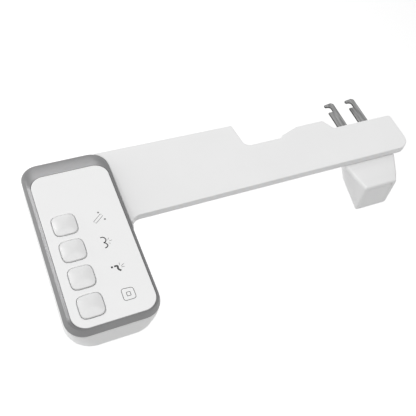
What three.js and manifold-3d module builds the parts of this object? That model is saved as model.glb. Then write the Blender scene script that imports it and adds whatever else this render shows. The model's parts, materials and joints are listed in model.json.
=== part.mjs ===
// Slim bidet attachment for a toilet bowl: a control pod with four push buttons hangs beside
// the bowl, a flat bar lies on the rim under the seat, and a nozzle housing hangs inside the
// bowl with two telescopic spray rods behind a hinged guard gate.
//
// Millimetres. +X runs along the bar away from the pod, +Y towards the back of the bowl and
// +Z up. The origin is the middle of the rest pad beside the nozzle housing, on the plane
// where the pads lie on the rim.

import * as THREE from 'three';
import { mergeVertices } from 'three/addons/utils/BufferGeometryUtils.js';
import Module from 'manifold-3d';

const wasm = await Module();
wasm.setup();

// ---------------------------------------------------------------- driving dimensions

const gap = 0.3; // clearance between pieces that seat on each other
const softEdge = 0.8; // rounding of moulded edges

// Bar
const barThickness = 9;
const barDepth = 48.8; // front edge to back edge at the free end
const barReach = 341.2; // side of the pod to the free end
const ribInset = 5; // front edge of the bar to the front rib
const ribStart = 30;
const ribStop = 40;
const barWall = 2; // top and skirt of the cover
const barEndRadius = 15; // front corner of the free end
const barFilletRadius = 10.5; // inner corner between the bar and the pod
const baseThickness = 1.8;
const restFromPod = 234; // side of the pod to the origin
const restFromFront = 34.4; // front edge of the bar to the origin
const padProud = 1.2; // how far the rest pads stand out under the bar
const padLength = 16;
const padDepth = 12;
const padSpan = 150; // origin to the pad under the broad part

// Broad part of the bar beside the pod, rear notch for the seat bolt, rear bump
const shoulderDepth = 86;
const shoulderLength = 147;
const notchFloorProud = 3.2; // the bar in the notch stands this far behind the end part
const notchDraft = 4;
const notchCornerRadius = 8;
const notchLength = 44;
const bumpProud = 13.5;
const bumpLength = 35;
const bumpRampLength = 25;
const bumpChamfer = 8;

// Pod
const podWidth = 88;
const podLength = 191.4;
const podCornerRadius = 18;
const hullDepth = 34; // rim to underside
const hullWall = 2.2;
const hullBottomRadius = 26.4; // plan radius of the corners at the underside
const hullEdgeRadius = 8;
const wingLength = 10; // how far the bar's cover wraps the rear corner of the pod

// Silver bezel and the sloping panel inside it
const bezelLip = 1;
const bezelSide = 5.6; // plan width of the slope at the sides
const bezelFront = 0.5;
const bezelBack = 24.4;
const bezelBulge = 3; // 2 makes the section of the sides an ellipse
const bezelBackBow = 1.3; // 1 makes the slope at the back straight
const bezelSheet = 1.2;
const bezelFlange = 3;
const panelRise = 15.6; // rim to panel at the front edge of the pod
const panelTilt = 0.85; // degrees, falling towards the back
const panelCornerRadius = 13.5;
const panelReveal = 0.5; // the panel's face stands above the bezel's inner edge
const faceThickness = 2.2;

// Push buttons, their symbols' column is free
const buttonCount = 4;
const buttonSize = 21.7;
const buttonPitch = 28.75;
const buttonSideInset = 25.5; // left side of the pod to the column of buttons
const buttonFrontInset = 19.9; // front edge of the pod to the first button
const buttonHeight = 2.4; // crown above the panel
const buttonTravel = 2;
const buttonClearance = 0.35;
const buttonFlange = 1.2;
const squareness = 4.2; // exponent of the rounded square

// Panel frame, control board and switches
const frameBorder = 4.4;
const armHalf = 1.8; // half the width of the arms that carry the board
const frameThickness = 1.8;
const frameLegRadius = 3;
const frameLegInset = 10.1; // side of the pod to the legs
const frontLegInset = 45; // front of the pod to the front legs
const rearLegInset = 33; // back of the pod to the rear legs
const legFootHeight = 14; // floor of the hull to the legs
const legScrewLength = 21;
const boardThickness = 1.6;
const boardWidth = 54;
const boardLength = 112;
const switchSize = 6;
const switchHeight = 3.5;
const switchNub = 0.5;
const buttonStem = 1.5;
const boardFrontMargin = 15; // first button to the front of the board
const boardSideMargin = 11;
const chipSize = 14;

// Water and power
const inletInset = 38; // back of the pod to the inlet
const inletRadius = 10.4;
const inletBore = 7;
const inletLength = 14; // below the hull
const inletFlangeRadius = 14;
const inletFlangeThickness = 2;
const sealThickness = 1;
const nutThickness = 5;
const nutBorder = 5;
const valveBlockLength = 40;
const valveBlockDepth = 30;
const valveBlockHeight = 9;
const solenoidRadius = 8.5;
const solenoidHeight = 13;
const solenoidPitch = 21;
const hoseRadius = 2.1;
const hosePitch = 9;
const barbLength = 3;
const leadRadius = 1.3;
const leadInset = 8; // right side of the pod to where the lead turns down
const hoseDropInset = 15; // front edge of the bar to where the hoses turn down
const hoseDropDepth = 3;
const hoseRun = 15; // straight run into the bulkhead
const ductFrontInset = 8; // front edge of the bar to the duct into the pod
const ductLength = 28;
const ductHeight = 4.8;
const tongueWidth = 12.3;
const tongueLength = 15;
const powerInletRadius = 5;
const powerInletLength = 12;
const powerInletInset = 36; // left side of the pod to the power inlet
const powerInletDrop = 17;

// Hook blades
const hookPitch = 29;
const hookWidth = 13.4;
const hookThickness = 1.6;
const hookReach = 39.6; // back edge of the bar to the tip
const hookRoot = 14;
const hookMouth = 7.4;
const hookMouthDepth = 6.4;
const hookNose = 6;
const hookOffset = 4.3; // nozzle centre to the middle of the two hooks
const clampThickness = 1.3;

// Nozzle housing
const nozzleFromRest = 54.4; // origin to the middle of the nozzle housing
const housingWall = 2;
const housingHidden = 24; // under the bar, behind its front edge
const passageHalf = 19; // opening between the bar and the housing
const passageInset = 5;
const housingTopHalf = 35;
const housingFootHalf = 26.5;
const housingRearHalf = 25;
const ridgeForward = 30.6; // front edge of the bar to the ridge
const ridgeDrop = 7;
const ridgeHalf = 22.2;
const chinForward = 33.2;
const chinDrop = 48.2;
const chinHalf = 21.6;
const nozzleSlope = 32; // degrees, the underside and the rods
const housingRadius = 3.6;
const frontRadius = 2.8;

// Telescopic nozzle
const wandRadius = 5;
const wandBore = 3.8;
const wandPitch = 17;
const rodRadius = 3.5;
const tipRadius = 4.7;
const tipLength = 3;
const tipRecess = 13; // panel of the gate to the tips at rest, along the rods
const wandStroke = 23;
const bulkheadThickness = 6;
const axisHeight = 9; // rods above the underside of the housing
const carriageLength = 6;
const gearModule = 0.8;
const pinionTeeth = 14;
const pinionWidth = 4;
const gearBacklash = 0.3;
const motorRadius = 5;
const motorLength = 8.4;

// Guard gate
const gateHalf = 15.2;
const gateThickness = 1.8;
const gateClearance = 0.45;
const gatePivotDrop = 6.5; // ridge to hinge, along the front
const gateFoot = 4.6; // lower edge of the gate above the chin, along the front
const barrelRadius = 1.9;
const earHalf = 3; // half the size of the lugs that carry the gate's pin
const pinRadius = 0.8;

// Screws
const screwRadius = 1.4;
const screwHeadRadius = 2.6;
const screwHeadHeight = 1;
const bossWall = 1.6;
const baseScrewLength = 4.7;
const tongueScrewLength = 7;
const housingScrewLength = 9;

// ---------------------------------------------------------------- derived places

const underZ = padProud; // underside of the bar
const topZ = underZ + barThickness; // top face of the bar and rim plane of the pod
const baseTopZ = underZ + baseThickness;
const ceilingZ = topZ - barWall; // inside of the cover's top
const barFront = -restFromFront;
const barBack = barFront + barDepth;
const shoulderBack = barFront + shoulderDepth;
const podRight = -restFromPod;
const podLeft = podRight - podWidth;
const podBack = shoulderBack;
const podFront = podBack - podLength;
const podMiddle = podLeft + podWidth / 2;
const barEnd = podRight + barReach;
const hullTopZ = topZ - bezelLip - gap;
const hullBottomZ = topZ - hullDepth;
const hullFloorZ = hullBottomZ + hullWall;
const coverLeft = podRight + gap;
const ductZ = baseTopZ + gap;
const slope = THREE.MathUtils.degToRad(nozzleSlope);
const tilt = THREE.MathUtils.degToRad(panelTilt);

// ---------------------------------------------------------------- geometry tools

function toSolid(geometry) {
  const bare = geometry.clone();
  bare.deleteAttribute('normal');
  bare.deleteAttribute('uv');
  const merged = mergeVertices(bare, 1e-4);
  return new wasm.Manifold(new wasm.Mesh({
    numProp: 3,
    vertProperties: Float32Array.from(merged.attributes.position.array),
    triVerts: Uint32Array.from(merged.index.array),
  }));
}

function toGeometry(solid) {
  const mesh = solid.getMesh();
  const geometry = new THREE.BufferGeometry();
  geometry.setAttribute('position', new THREE.BufferAttribute(mesh.vertProperties, 3));
  geometry.setIndex(new THREE.BufferAttribute(mesh.triVerts, 1));
  geometry.computeVertexNormals();
  return geometry;
}

function cut(body, ...tools) {
  return toGeometry(tools.reduce((solid, tool) => solid.subtract(toSolid(tool)), toSolid(body)));
}

function join(...parts) {
  return toGeometry(parts.map(toSolid).reduce((solid, part) => solid.add(part)));
}

function common(a, b) {
  return toGeometry(toSolid(a).intersect(toSolid(b)));
}

// Points of a closed polygon whose corners [x, y, radius] are rounded by arcs; larger arcs get
// more steps unless their number is given.
function rounded(corners, arcSteps) {
  const points = [];
  corners.forEach(([x, y, radius], i) => {
    if (!radius) {
      points.push(new THREE.Vector2(x, y));
      return;
    }
    const steps = arcSteps ?? Math.max(2, Math.round(1.2 * Math.sqrt(radius)));
    const corner = new THREE.Vector2(x, y);
    const [px, py] = corners[(i + corners.length - 1) % corners.length];
    const [nx, ny] = corners[(i + 1) % corners.length];
    const before = new THREE.Vector2(px, py).sub(corner).normalize();
    const after = new THREE.Vector2(nx, ny).sub(corner).normalize();
    const half = Math.acos(THREE.MathUtils.clamp(before.dot(after), -1, 1)) / 2;
    const centre = before.clone().add(after).normalize().multiplyScalar(radius / Math.sin(half)).add(corner);
    const start = before.multiplyScalar(radius / Math.tan(half)).add(corner).sub(centre);
    const end = after.multiplyScalar(radius / Math.tan(half)).add(corner).sub(centre);
    const turn = Math.atan2(start.cross(end), start.dot(end));
    for (let k = 0; k <= steps; k += 1) {
      points.push(start.clone().rotateAround(new THREE.Vector2(), (turn * k) / steps).add(centre));
    }
  });
  return points;
}

// The same polygon, counter-clockwise, moved inwards on every side.
function inset(corners, distance) {
  const count = corners.length;
  const lines = corners.map(([x, y], i) => {
    const [nx, ny] = corners[(i + 1) % count];
    const along = new THREE.Vector2(nx - x, ny - y).normalize();
    const start = new THREE.Vector2(x - along.y * distance, y + along.x * distance);
    return { start, along };
  });
  return corners.map(([, , radius], i) => {
    const a = lines[(i + count - 1) % count];
    const b = lines[i];
    const turn = a.along.cross(b.along);
    const t = b.start.clone().sub(a.start).cross(b.along) / turn;
    const point = a.along.clone().multiplyScalar(t).add(a.start);
    const inner = turn > 0 ? radius - distance : radius + distance;
    return [point.x, point.y, radius ? Math.max(inner, 0.4) : 0];
  });
}

function rectangle(x0, x1, y0, y1, radius) {
  return [[x0, y0, radius], [x1, y0, radius], [x1, y1, radius], [x0, y1, radius]];
}

function plate(points, z0, z1) {
  const geometry = new THREE.ExtrudeGeometry(new THREE.Shape(points), { depth: z1 - z0, bevelEnabled: false });
  return geometry.translate(0, 0, z0);
}

// A plate whose upper and lower edges are rounded.
function softPlate(points, z0, z1, edge) {
  const geometry = new THREE.ExtrudeGeometry(new THREE.Shape(points), {
    depth: z1 - z0 - 2 * edge,
    bevelThickness: edge,
    bevelSize: edge,
    bevelOffset: -edge,
    bevelSegments: 2,
    curveSegments: 1,
  });
  return geometry.translate(0, 0, z0 + edge);
}

function block(x0, x1, y0, y1, z0, z1) {
  const geometry = new THREE.BoxGeometry(x1 - x0, y1 - y0, z1 - z0);
  return geometry.translate((x0 + x1) / 2, (y0 + y1) / 2, (z0 + z1) / 2);
}

// Upright cylinder.
function post(x, y, z0, z1, radius, sides = 12) {
  const geometry = new THREE.CylinderGeometry(radius, radius, z1 - z0, sides);
  return geometry.rotateX(Math.PI / 2).translate(x, y, (z0 + z1) / 2);
}

// Cylinder along Y.
function barrelY(x, z, y0, y1, radius, sides = 16) {
  return new THREE.CylinderGeometry(radius, radius, y1 - y0, sides).translate(x, (y0 + y1) / 2, z);
}

// Cylinder along X.
function barrelX(y, z, x0, x1, radius, sides = 12) {
  const geometry = new THREE.CylinderGeometry(radius, radius, x1 - x0, sides);
  return geometry.rotateZ(Math.PI / 2).translate((x0 + x1) / 2, y, z);
}

function turned(profile, sides = 16) {
  const points = profile.map(([radius, z]) => new THREE.Vector2(radius, z));
  return new THREE.LatheGeometry(points, sides).rotateX(Math.PI / 2);
}

// Closed skin through rings of equally many points: capped at both ends, or joined end to
// start as a frame.
function skin(rings, closed) {
  const count = rings[0].length;
  const vertices = rings.flat();
  const faces = [];
  const layers = closed ? rings.length : rings.length - 1;
  for (let k = 0; k < layers; k += 1) {
    const low = k * count;
    const high = ((k + 1) % rings.length) * count;
    for (let i = 0; i < count; i += 1) {
      const j = (i + 1) % count;
      faces.push(low + i, low + j, high + j, low + i, high + j, high + i);
    }
  }
  if (!closed) {
    [rings[0], rings[rings.length - 1]].forEach((ring, end) => {
      const first = end * (rings.length - 1) * count;
      const middle = new THREE.Vector3();
      ring.forEach((point) => middle.addScaledVector(point, 1 / count));
      vertices.push(middle);
      for (let i = 0; i < count; i += 1) {
        const pair = [first + i, first + ((i + 1) % count)];
        faces.push(...(end ? pair : pair.reverse()), vertices.length - 1);
      }
    });
  }
  const geometry = new THREE.BufferGeometry().setFromPoints(vertices);
  geometry.setIndex(volume(vertices, faces) < 0 ? faces.reverse() : faces);
  geometry.computeVertexNormals();
  return geometry;
}

function volume(vertices, faces) {
  let sum = 0;
  for (let i = 0; i < faces.length; i += 3) {
    const [a, b, c] = [vertices[faces[i]], vertices[faces[i + 1]], vertices[faces[i + 2]]];
    sum += a.dot(b.clone().cross(c)) / 6;
  }
  return sum;
}

// Outline of the pod moved inwards by its own amount at the sides, front and back.
function podRing(side, front, back, radius, height) {
  const corners = rectangle(podLeft + side, podRight - side, podFront + front, podBack - back, radius);
  return rounded(corners, 5).map(({ x, y }) => new THREE.Vector3(x, y, height(y)));
}

function panelZ(y) {
  return topZ + panelRise - (y - podFront) * Math.tan(tilt);
}

// Moves a geometry made in a group's frame to where the group lies.
function placed(geometry, frame) {
  frame.updateMatrixWorld(true);
  return geometry.applyMatrix4(frame.matrixWorld);
}

// Round tube along straight runs whose corners are eased.
function tube(places, radius, steps) {
  const points = places.map(([x, y, z]) => new THREE.Vector3(x, y, z));
  const path = new THREE.CurvePath();
  let start = points[0];
  for (let k = 1; k < points.length - 1; k += 1) {
    const room = Math.min(points[k].distanceTo(points[k - 1]), points[k].distanceTo(points[k + 1]));
    const reach = Math.min(room * 0.45, 3 * radius);
    const before = points[k - 1].clone().sub(points[k]).setLength(reach).add(points[k]);
    const after = points[k + 1].clone().sub(points[k]).setLength(reach).add(points[k]);
    path.add(new THREE.LineCurve3(start, before));
    path.add(new THREE.QuadraticBezierCurve3(before, points[k], after));
    start = after;
  }
  path.add(new THREE.LineCurve3(start, points[points.length - 1]));
  const circle = new THREE.Shape().absarc(0, 0, radius, 0, 2 * Math.PI);
  return new THREE.ExtrudeGeometry(circle, { steps, curveSegments: 3, extrudePath: path, bevelEnabled: false });
}

// Screw that is driven in upwards: its head lies at z, its shank ends at z + length.
function screw(x, y, z, length) {
  const head = [[0, 0], [screwHeadRadius, 0], [screwHeadRadius, screwHeadHeight]];
  const shank = [[screwRadius, screwHeadHeight], [screwRadius, length], [0, length]];
  return turned([...head, ...shank], 8).translate(x, y, z);
}

function screwHole(x, y, z, length) {
  const bore = post(x, y, z - 1, z + length + gap, screwRadius + gap, 12);
  const seat = post(x, y, z - 10, z + screwHeadHeight + gap, screwHeadRadius + gap, 12);
  return join(bore, seat);
}

// ---------------------------------------------------------------- assembly

const finish = {
  whitePlastic: { color: 0xececec, roughness: 0.35, metalness: 0 },
  panelWhite: { color: 0xf0f0f0, roughness: 0.3, metalness: 0 },
  buttonWhite: { color: 0xe6e6e6, roughness: 0.28, metalness: 0 },
  silver: { color: 0x9a9a9a, roughness: 0.35, metalness: 0.7 },
  steel: { color: 0x8c8c8c, roughness: 0.3, metalness: 0.9 },
  brass: { color: 0xb8b09a, roughness: 0.35, metalness: 0.9 },
  greyPlastic: { color: 0xbdbdbd, roughness: 0.5, metalness: 0 },
  blackPlastic: { color: 0x2c2c2c, roughness: 0.5, metalness: 0 },
  board: { color: 0x3f5a46, roughness: 0.6, metalness: 0 },
  rubber: { color: 0x6f6f6f, roughness: 0.85, metalness: 0 },
  hose: { color: 0xd9d9d9, roughness: 0.45, metalness: 0 },
};

const attachment = new THREE.Group();

function add(name, geometry, look, parent = attachment) {
  const mesh = new THREE.Mesh(geometry, new THREE.MeshStandardMaterial(finish[look]));
  mesh.name = name;
  parent.add(mesh);
}

function addEach(name, places, make, look) {
  places.forEach((place, k) => add(`${name}_${k + 1}`, make(place), look));
}

// Frame of the panel: X from the pod's middle, Y back from the pod's front, Z out of the face.
const panel = new THREE.Group();
panel.position.set(podMiddle, podFront, topZ + panelRise);
panel.rotation.x = -tilt;
attachment.add(panel);

// ---------------------------------------------------------------- pod

// Depth profile of the hull: plan inset and height, from the flat underside to the rim.
function hullRings(wall, top) {
  const depth = hullDepth - wall;
  const rings = [];
  const ring = (share, extra, z) => {
    const radius = podCornerRadius + (hullBottomRadius - podCornerRadius) * share ** 2 - wall - extra;
    const side = wall + extra;
    return podRing(side, side, side, Math.max(radius, 1), () => z);
  };
  const edge = hullEdgeRadius - wall / 2;
  for (let k = 0; k <= 3; k += 1) {
    const angle = (k * Math.PI) / 6;
    rings.push(ring(1, edge * (1 - Math.sin(angle)), topZ - depth + edge * (1 - Math.cos(angle))));
  }
  for (let k = 1; k <= 3; k += 1) {
    const z = THREE.MathUtils.lerp(topZ - depth + edge, top, k / 3);
    rings.push(ring(Math.max((topZ - z) / (depth - edge), 0), 0, z));
  }
  return rings;
}

const legPlaces = [];
for (const side of [-1, 1]) {
  for (const y of [frontLegInset, podLength - rearLegInset]) {
    legPlaces.push([side * (podWidth / 2 - frameLegInset), y]);
  }
}

const legFootZ = hullFloorZ + legFootHeight;
const bossRadius = screwRadius + gap + bossWall;
const inletY = podBack - inletInset;
const tongueY = [barFront + ductFrontInset + gap, barFront + ductFrontInset + tongueWidth];
const tongueTopZ = ductZ + gap + baseThickness;
const tongueBoss = [podRight - hullWall - 7, (tongueY[0] + tongueY[1]) / 2];
const powerX = podLeft + powerInletInset;
const powerZ = topZ - powerInletDrop;

function podHull() {
  const shell = cut(skin(hullRings(0, hullTopZ), false), skin(hullRings(hullWall, hullTopZ + 5), false));
  const bosses = legPlaces.map(([x, y]) => post(podMiddle + x, podFront + y, hullFloorZ - 1, legFootZ, bossRadius + 0.6));
  const ledge = post(...tongueBoss, hullFloorZ - 1, ductZ - gap, bossRadius + 1);
  const cradle = valveSeats.map(([x, y]) => post(x, y, hullFloorZ - 1, valveBottomZ - gap, 3));
  const bores = legPlaces.map(([x, y]) => screwHole(podMiddle + x, podFront + y, hullBottomZ, legScrewLength));
  const ledgeBore = post(...tongueBoss, ductZ - 9, ductZ + 1, screwRadius + gap, 12);
  const inletHole = post(podMiddle, inletY, hullBottomZ - 1, hullFloorZ + 1, inletRadius + gap, 24);
  const duct = block(
    podRight - hullWall - 3,
    podRight + 1,
    barFront + ductFrontInset,
    barFront + ductFrontInset + ductLength,
    ductZ,
    ductZ + ductHeight,
  );
  const powerHole = barrelY(powerX, powerZ, podBack - hullWall - 4, podBack + 1, powerInletRadius + gap);
  return cut(join(shell, ...bosses, ledge, ...cradle), ...bores, ledgeBore, inletHole, duct, powerHole);
}

const valveBottomZ = hullFloorZ + gap + sealThickness + gap + inletFlangeThickness + gap;
const valveX = [podMiddle - valveBlockLength / 2, podMiddle + valveBlockLength / 2];
const valveY = [inletY - valveBlockDepth / 2, inletY + valveBlockDepth / 2];
const valveSeats = [];
for (const x of [valveX[0] + 4, valveX[1] - 4]) {
  for (const y of [valveY[0] + 4, valveY[1] - 4]) {
    valveSeats.push([x, y]);
  }
}

// The silver bezel bulges at the sides and slopes down to the bar's level at the back.
function bezelRing() {
  const ring = (rise, extra, drop) => {
    const side = 1 - Math.sqrt(1 - rise ** bezelBulge);
    const back = rise ** bezelBackBow;
    return podRing(
      bezelSide * side + extra,
      bezelFront * side + extra,
      bezelBack * back + extra,
      THREE.MathUtils.lerp(podCornerRadius, panelCornerRadius, (side + back) / 2) - extra,
      (y) => THREE.MathUtils.lerp(topZ, panelZ(y) - panelReveal, rise) - drop,
    );
  };
  const seat = faceThickness + gap - panelReveal;
  const sheet = bezelSheet + gap;
  return skin([
    ring(0, 0, bezelLip),
    ...[0, 0.4, 0.7, 0.88, 0.97, 1].map((rise) => ring(rise, 0, 0)),
    ring(1, 0, seat),
    ring(1, bezelFlange, seat),
    ring(1, bezelFlange, seat + bezelSheet),
    ring(1, 0.7 * bezelSheet, seat + bezelSheet),
    ring(0.8, sheet, bezelSheet),
    ring(0.5, sheet, bezelSheet),
    ring(0, sheet, bezelLip),
  ], true);
}

// Outline of the panel in the panel's own frame, moved inwards by a margin.
function panelOutline(margin) {
  const half = podWidth / 2 - bezelSide - margin;
  const front = bezelFront + margin;
  const back = podLength - bezelBack - margin;
  return rounded(rectangle(-half, half, front, back, panelCornerRadius - margin));
}

function squircle(size, segments = 20) {
  const points = [];
  for (let k = 0; k < segments; k += 1) {
    const angle = (2 * Math.PI * k) / segments;
    const reach = (Math.abs(Math.cos(angle)) ** squareness + Math.abs(Math.sin(angle)) ** squareness);
    const radius = (size / 2) * reach ** (-1 / squareness);
    points.push(new THREE.Vector2(radius * Math.cos(angle), radius * Math.sin(angle)));
  }
  return points;
}

const buttonX = buttonSideInset - podWidth / 2;
const buttonYs = Array.from({ length: buttonCount }, (_, k) => buttonFrontInset + k * buttonPitch);
const flangeTopZ = -faceThickness - gap;
const flangeBottomZ = flangeTopZ - buttonFlange;
const boardTopZ = flangeBottomZ - 2 * gap - buttonTravel - switchNub - switchHeight - buttonStem;
const switchTopZ = boardTopZ + gap + switchHeight + switchNub;

function facePlate() {
  const slab = softPlate(panelOutline(gap), -faceThickness, 0, softEdge);
  const holes = buttonYs.map((y) => plate(squircle(buttonSize + 2 * buttonClearance), -faceThickness - 1, 1)
    .translate(buttonX, y, 0));
  return cut(slab, ...holes);
}

function pushButton() {
  const ring = (size, z) => squircle(size).map(({ x, y }) => new THREE.Vector3(x, y, z));
  const wide = buttonSize + 2 * buttonFlange;
  const crown = [0, 0.3, 0.6, 0.85, 1].map((share) => {
    const size = buttonSize * (1 - 0.5 * share ** 3);
    return ring(size, buttonHeight * (0.45 + 0.55 * Math.sin((share * Math.PI) / 2)));
  });
  const cap = skin([
    ring(wide, flangeBottomZ),
    ring(wide, flangeTopZ),
    ring(buttonSize, flangeTopZ),
    ...crown,
  ], false);
  return join(cap, post(0, 0, switchTopZ + gap + buttonTravel, flangeBottomZ + 0.5, 2.4));
}

function panelFrame() {
  const top = flangeTopZ - bezelSheet - gap;
  const bottom = top - frameThickness;
  const margin = bezelSheet + 3 * gap;
  const outer = plate(panelOutline(margin), bottom, top);
  const opening = plate(panelOutline(frameBorder + margin), bottom - 1, top + 1);
  const arms = boardArms.map(([x, y]) => {
    const outward = Math.sign(x) * (podWidth / 2 - bezelSide - frameBorder / 2);
    const near = [x - armHalf, x + armHalf, outward];
    return block(Math.min(...near), Math.max(...near), y - armHalf, y + armHalf, bottom, top);
  });
  const pegs = boardArms.map(([x, y]) => post(x, y, boardTopZ + gap, bottom + 0.5, armHalf));
  const wells = buttonYs.map((y) => plate(squircle(buttonSize + 2 * buttonFlange + 2 * gap), bottom - 1, top + 1)
    .translate(buttonX, y, 0));
  const border = placed(join(cut(outer, opening, ...wells), ...arms, ...pegs), panel);
  const legs = legPlaces.map(([x, y]) => {
    const head = panelZ(podFront + y) + bottom + 0.5;
    return post(podMiddle + x, podFront + y, legFootZ + gap, head, frameLegRadius);
  });
  const bores = legPlaces.map(([x, y]) => (
    post(podMiddle + x, podFront + y, legFootZ, legFootZ + 9, screwRadius + gap, 12)
  ));
  return cut(join(border, ...legs), ...bores);
}

const boardFront = buttonFrontInset - boardFrontMargin;
const boardLeft = buttonX - boardSideMargin;
const boardArms = [];
for (const x of [boardLeft + 1.2, boardLeft + boardWidth - 4]) {
  for (const between of [0.5, buttonCount - 1.5]) {
    boardArms.push([x, buttonFrontInset + between * buttonPitch]);
  }
}

function controlBoard() {
  const outline = rounded(rectangle(boardLeft, boardLeft + boardWidth, boardFront, boardFront + boardLength, 2), 2);
  const sheet = plate(outline, boardTopZ - boardThickness, boardTopZ);
  const chip = (x, y, w, d, h) => block(x, x + w, y, y + d, boardTopZ - 0.2, boardTopZ + h);
  const right = boardLeft + boardWidth - 1.7 * chipSize;
  const driver = (share) => chip(right, boardFront + share * boardLength, 0.6 * chipSize, 0.35 * chipSize, 1.6);
  return join(
    sheet,
    chip(right, boardFront + 0.1 * boardLength, chipSize, chipSize, 2),
    driver(0.36),
    driver(0.47),
    chip(right, boardFront + 0.9 * boardLength, 1.3 * chipSize, 0.5 * chipSize, 5),
  );
}

function tactileSwitch(y) {
  const half = switchSize / 2;
  const base = boardTopZ + gap;
  const body = block(buttonX - half, buttonX + half, y - half, y + half, base, base + switchHeight);
  return join(body, post(buttonX, y, base + switchHeight - 0.5, switchTopZ, 1.6, 12));
}

// ---------------------------------------------------------------- water and power

function waterInlet() {
  const low = hullBottomZ - inletLength;
  const flangeZ = hullFloorZ + gap + sealThickness + gap;
  return turned([
    [inletBore, low],
    [inletRadius - 1, low],
    [inletRadius, low + 1],
    [inletRadius, flangeZ],
    [inletFlangeRadius, flangeZ],
    [inletFlangeRadius, flangeZ + inletFlangeThickness],
    [inletBore, flangeZ + inletFlangeThickness],
    [inletBore, low],
  ]);
}

function inletSeal() {
  return turned([
    [inletRadius + gap, hullFloorZ + gap],
    [inletFlangeRadius, hullFloorZ + gap],
    [inletFlangeRadius, hullFloorZ + gap + sealThickness],
    [inletRadius + gap, hullFloorZ + gap + sealThickness],
    [inletRadius + gap, hullFloorZ + gap],
  ]);
}

function inletNut() {
  const outline = [];
  for (let k = 0; k < 6; k += 1) {
    const angle = (k * Math.PI) / 3;
    outline.push([(inletRadius + nutBorder) * Math.cos(angle), (inletRadius + nutBorder) * Math.sin(angle), 1.5]);
  }
  const nut = plate(rounded(outline, 2), hullBottomZ - gap - nutThickness, hullBottomZ - gap);
  return cut(nut, post(0, 0, hullBottomZ - 2 * nutThickness, hullBottomZ, inletRadius + gap, 24));
}

function valveBlock() {
  const top = valveBottomZ + valveBlockHeight;
  const body = plate(rounded(rectangle(...valveX, ...valveY, 4), 3), valveBottomZ, top);
  const barb = (y) => barrelX(y, valveOutZ, valveX[1] - 1, valveX[1] + barbLength, hoseRadius - 0.4, 10);
  const cups = [-1, 1].map((side) => post(podMiddle + (side * solenoidPitch) / 2, inletY, top - 1, top + 2, solenoidRadius - 2));
  const throat = post(podMiddle, inletY, valveBottomZ - 1, valveBottomZ + 4, inletBore);
  return cut(join(body, ...cups, barb(hoseYs[0]), barb(hoseYs[1])), throat);
}

function solenoid(side) {
  const x = podMiddle + (side * solenoidPitch) / 2;
  const low = valveBottomZ + valveBlockHeight + gap;
  const can = turned([
    [solenoidRadius - 2 + gap, low],
    [solenoidRadius, low],
    [solenoidRadius, low + solenoidHeight - 1],
    [solenoidRadius - 1, low + solenoidHeight],
    [0, low + solenoidHeight],
    [0, low + 2.3],
    [solenoidRadius - 2 + gap, low + 2.3],
    [solenoidRadius - 2 + gap, low],
  ]);
  const plug = block(-4, 4, solenoidRadius - 1, solenoidRadius + 3, low + 3, low + 8);
  return join(can, plug).translate(x, inletY, 0);
}

function powerInlet() {
  const face = podBack - 0.6;
  const barrel = barrelY(powerX, powerZ, face - powerInletLength, face, powerInletRadius);
  const stop = podBack - hullWall - 1;
  const collar = barrelY(powerX, powerZ, stop - 2, stop, powerInletRadius + 2);
  const socket = barrelY(powerX, powerZ, face - 9, face + 1, powerInletRadius - 1.6);
  const contact = barrelY(powerX, powerZ, face - 9.5, face - 2, 0.9, 10);
  return join(cut(join(barrel, collar), socket), contact);
}

const lineZ = ductZ + ductHeight / 2; // hoses and lead inside the bar
const hoseYs = [inletY - hosePitch, inletY];
const valveOutZ = valveBottomZ + valveBlockHeight / 2;
const lineYs = [0, 1].map((k) => tongueY[1] + 3 + k * (2 * hoseRadius + 0.6));
const leadY = lineYs[1] + hoseRadius + leadRadius + 3 * gap;
const nozzleX = nozzleFromRest;

// ---------------------------------------------------------------- bar

// Core outline of the bar, counter-clockwise from the front corner at the pod.
function barCorners() {
  const notchLeft = podRight + shoulderLength;
  const notchRight = notchLeft + notchDraft + notchLength;
  const rampEnd = notchRight + bumpRampLength;
  const bumpEnd = rampEnd + bumpLength;
  const bumpBack = barBack + bumpProud;
  return [
    [coverLeft, barFront, 0],
    [barEnd, barFront, barEndRadius],
    [barEnd, barBack, 3],
    [bumpEnd + bumpChamfer, barBack, 2],
    [bumpEnd, bumpBack, 4],
    [rampEnd, bumpBack, 6],
    [notchRight + 1.5, barBack + notchFloorProud + 2.5, 1],
    [notchRight, barBack + notchFloorProud, 1],
    [notchLeft + notchDraft, barBack + notchFloorProud, notchCornerRadius],
    [notchLeft, shoulderBack, 2.5],
    [coverLeft, shoulderBack, 0],
  ];
}

// The cover also fills the inner corner at the pod and wraps the pod's rear corner; its left
// side runs into the pod, whose outline is cut from it.
function coverCorners() {
  const tip = barFront - barFilletRadius - 1;
  const wing = podRight - wingLength;
  return [
    [wing, tip, 0],
    [coverLeft + 1, tip, 0],
    [coverLeft + 1, barFront, barFilletRadius],
    ...barCorners().slice(1, -1),
    [wing, shoulderBack, 0],
  ];
}

const hookX = [-1, 1].map((side) => nozzleX + hookOffset + (side * hookPitch) / 2);
const hookZ = baseTopZ + 0.9 + gap;
const clampZ = hookZ + hookThickness + gap;
const hookHoleYs = [barBack - barWall - 3.4, barBack - hookRoot + 3];
const coverScrews = [
  [coverLeft + 14, barFront + 12],
  [coverLeft + 14, shoulderBack - 12],
  [coverLeft + shoulderLength + 10, barFront + 10],
  [barEnd - 9, barFront + 14],
];
const housingScrews = [];
for (const side of [-1, 1]) {
  for (const y of [barFront + 7, barFront + housingHidden - 6]) {
    housingScrews.push([nozzleX + side * (housingTopHalf - 8), y]);
  }
}

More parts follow.
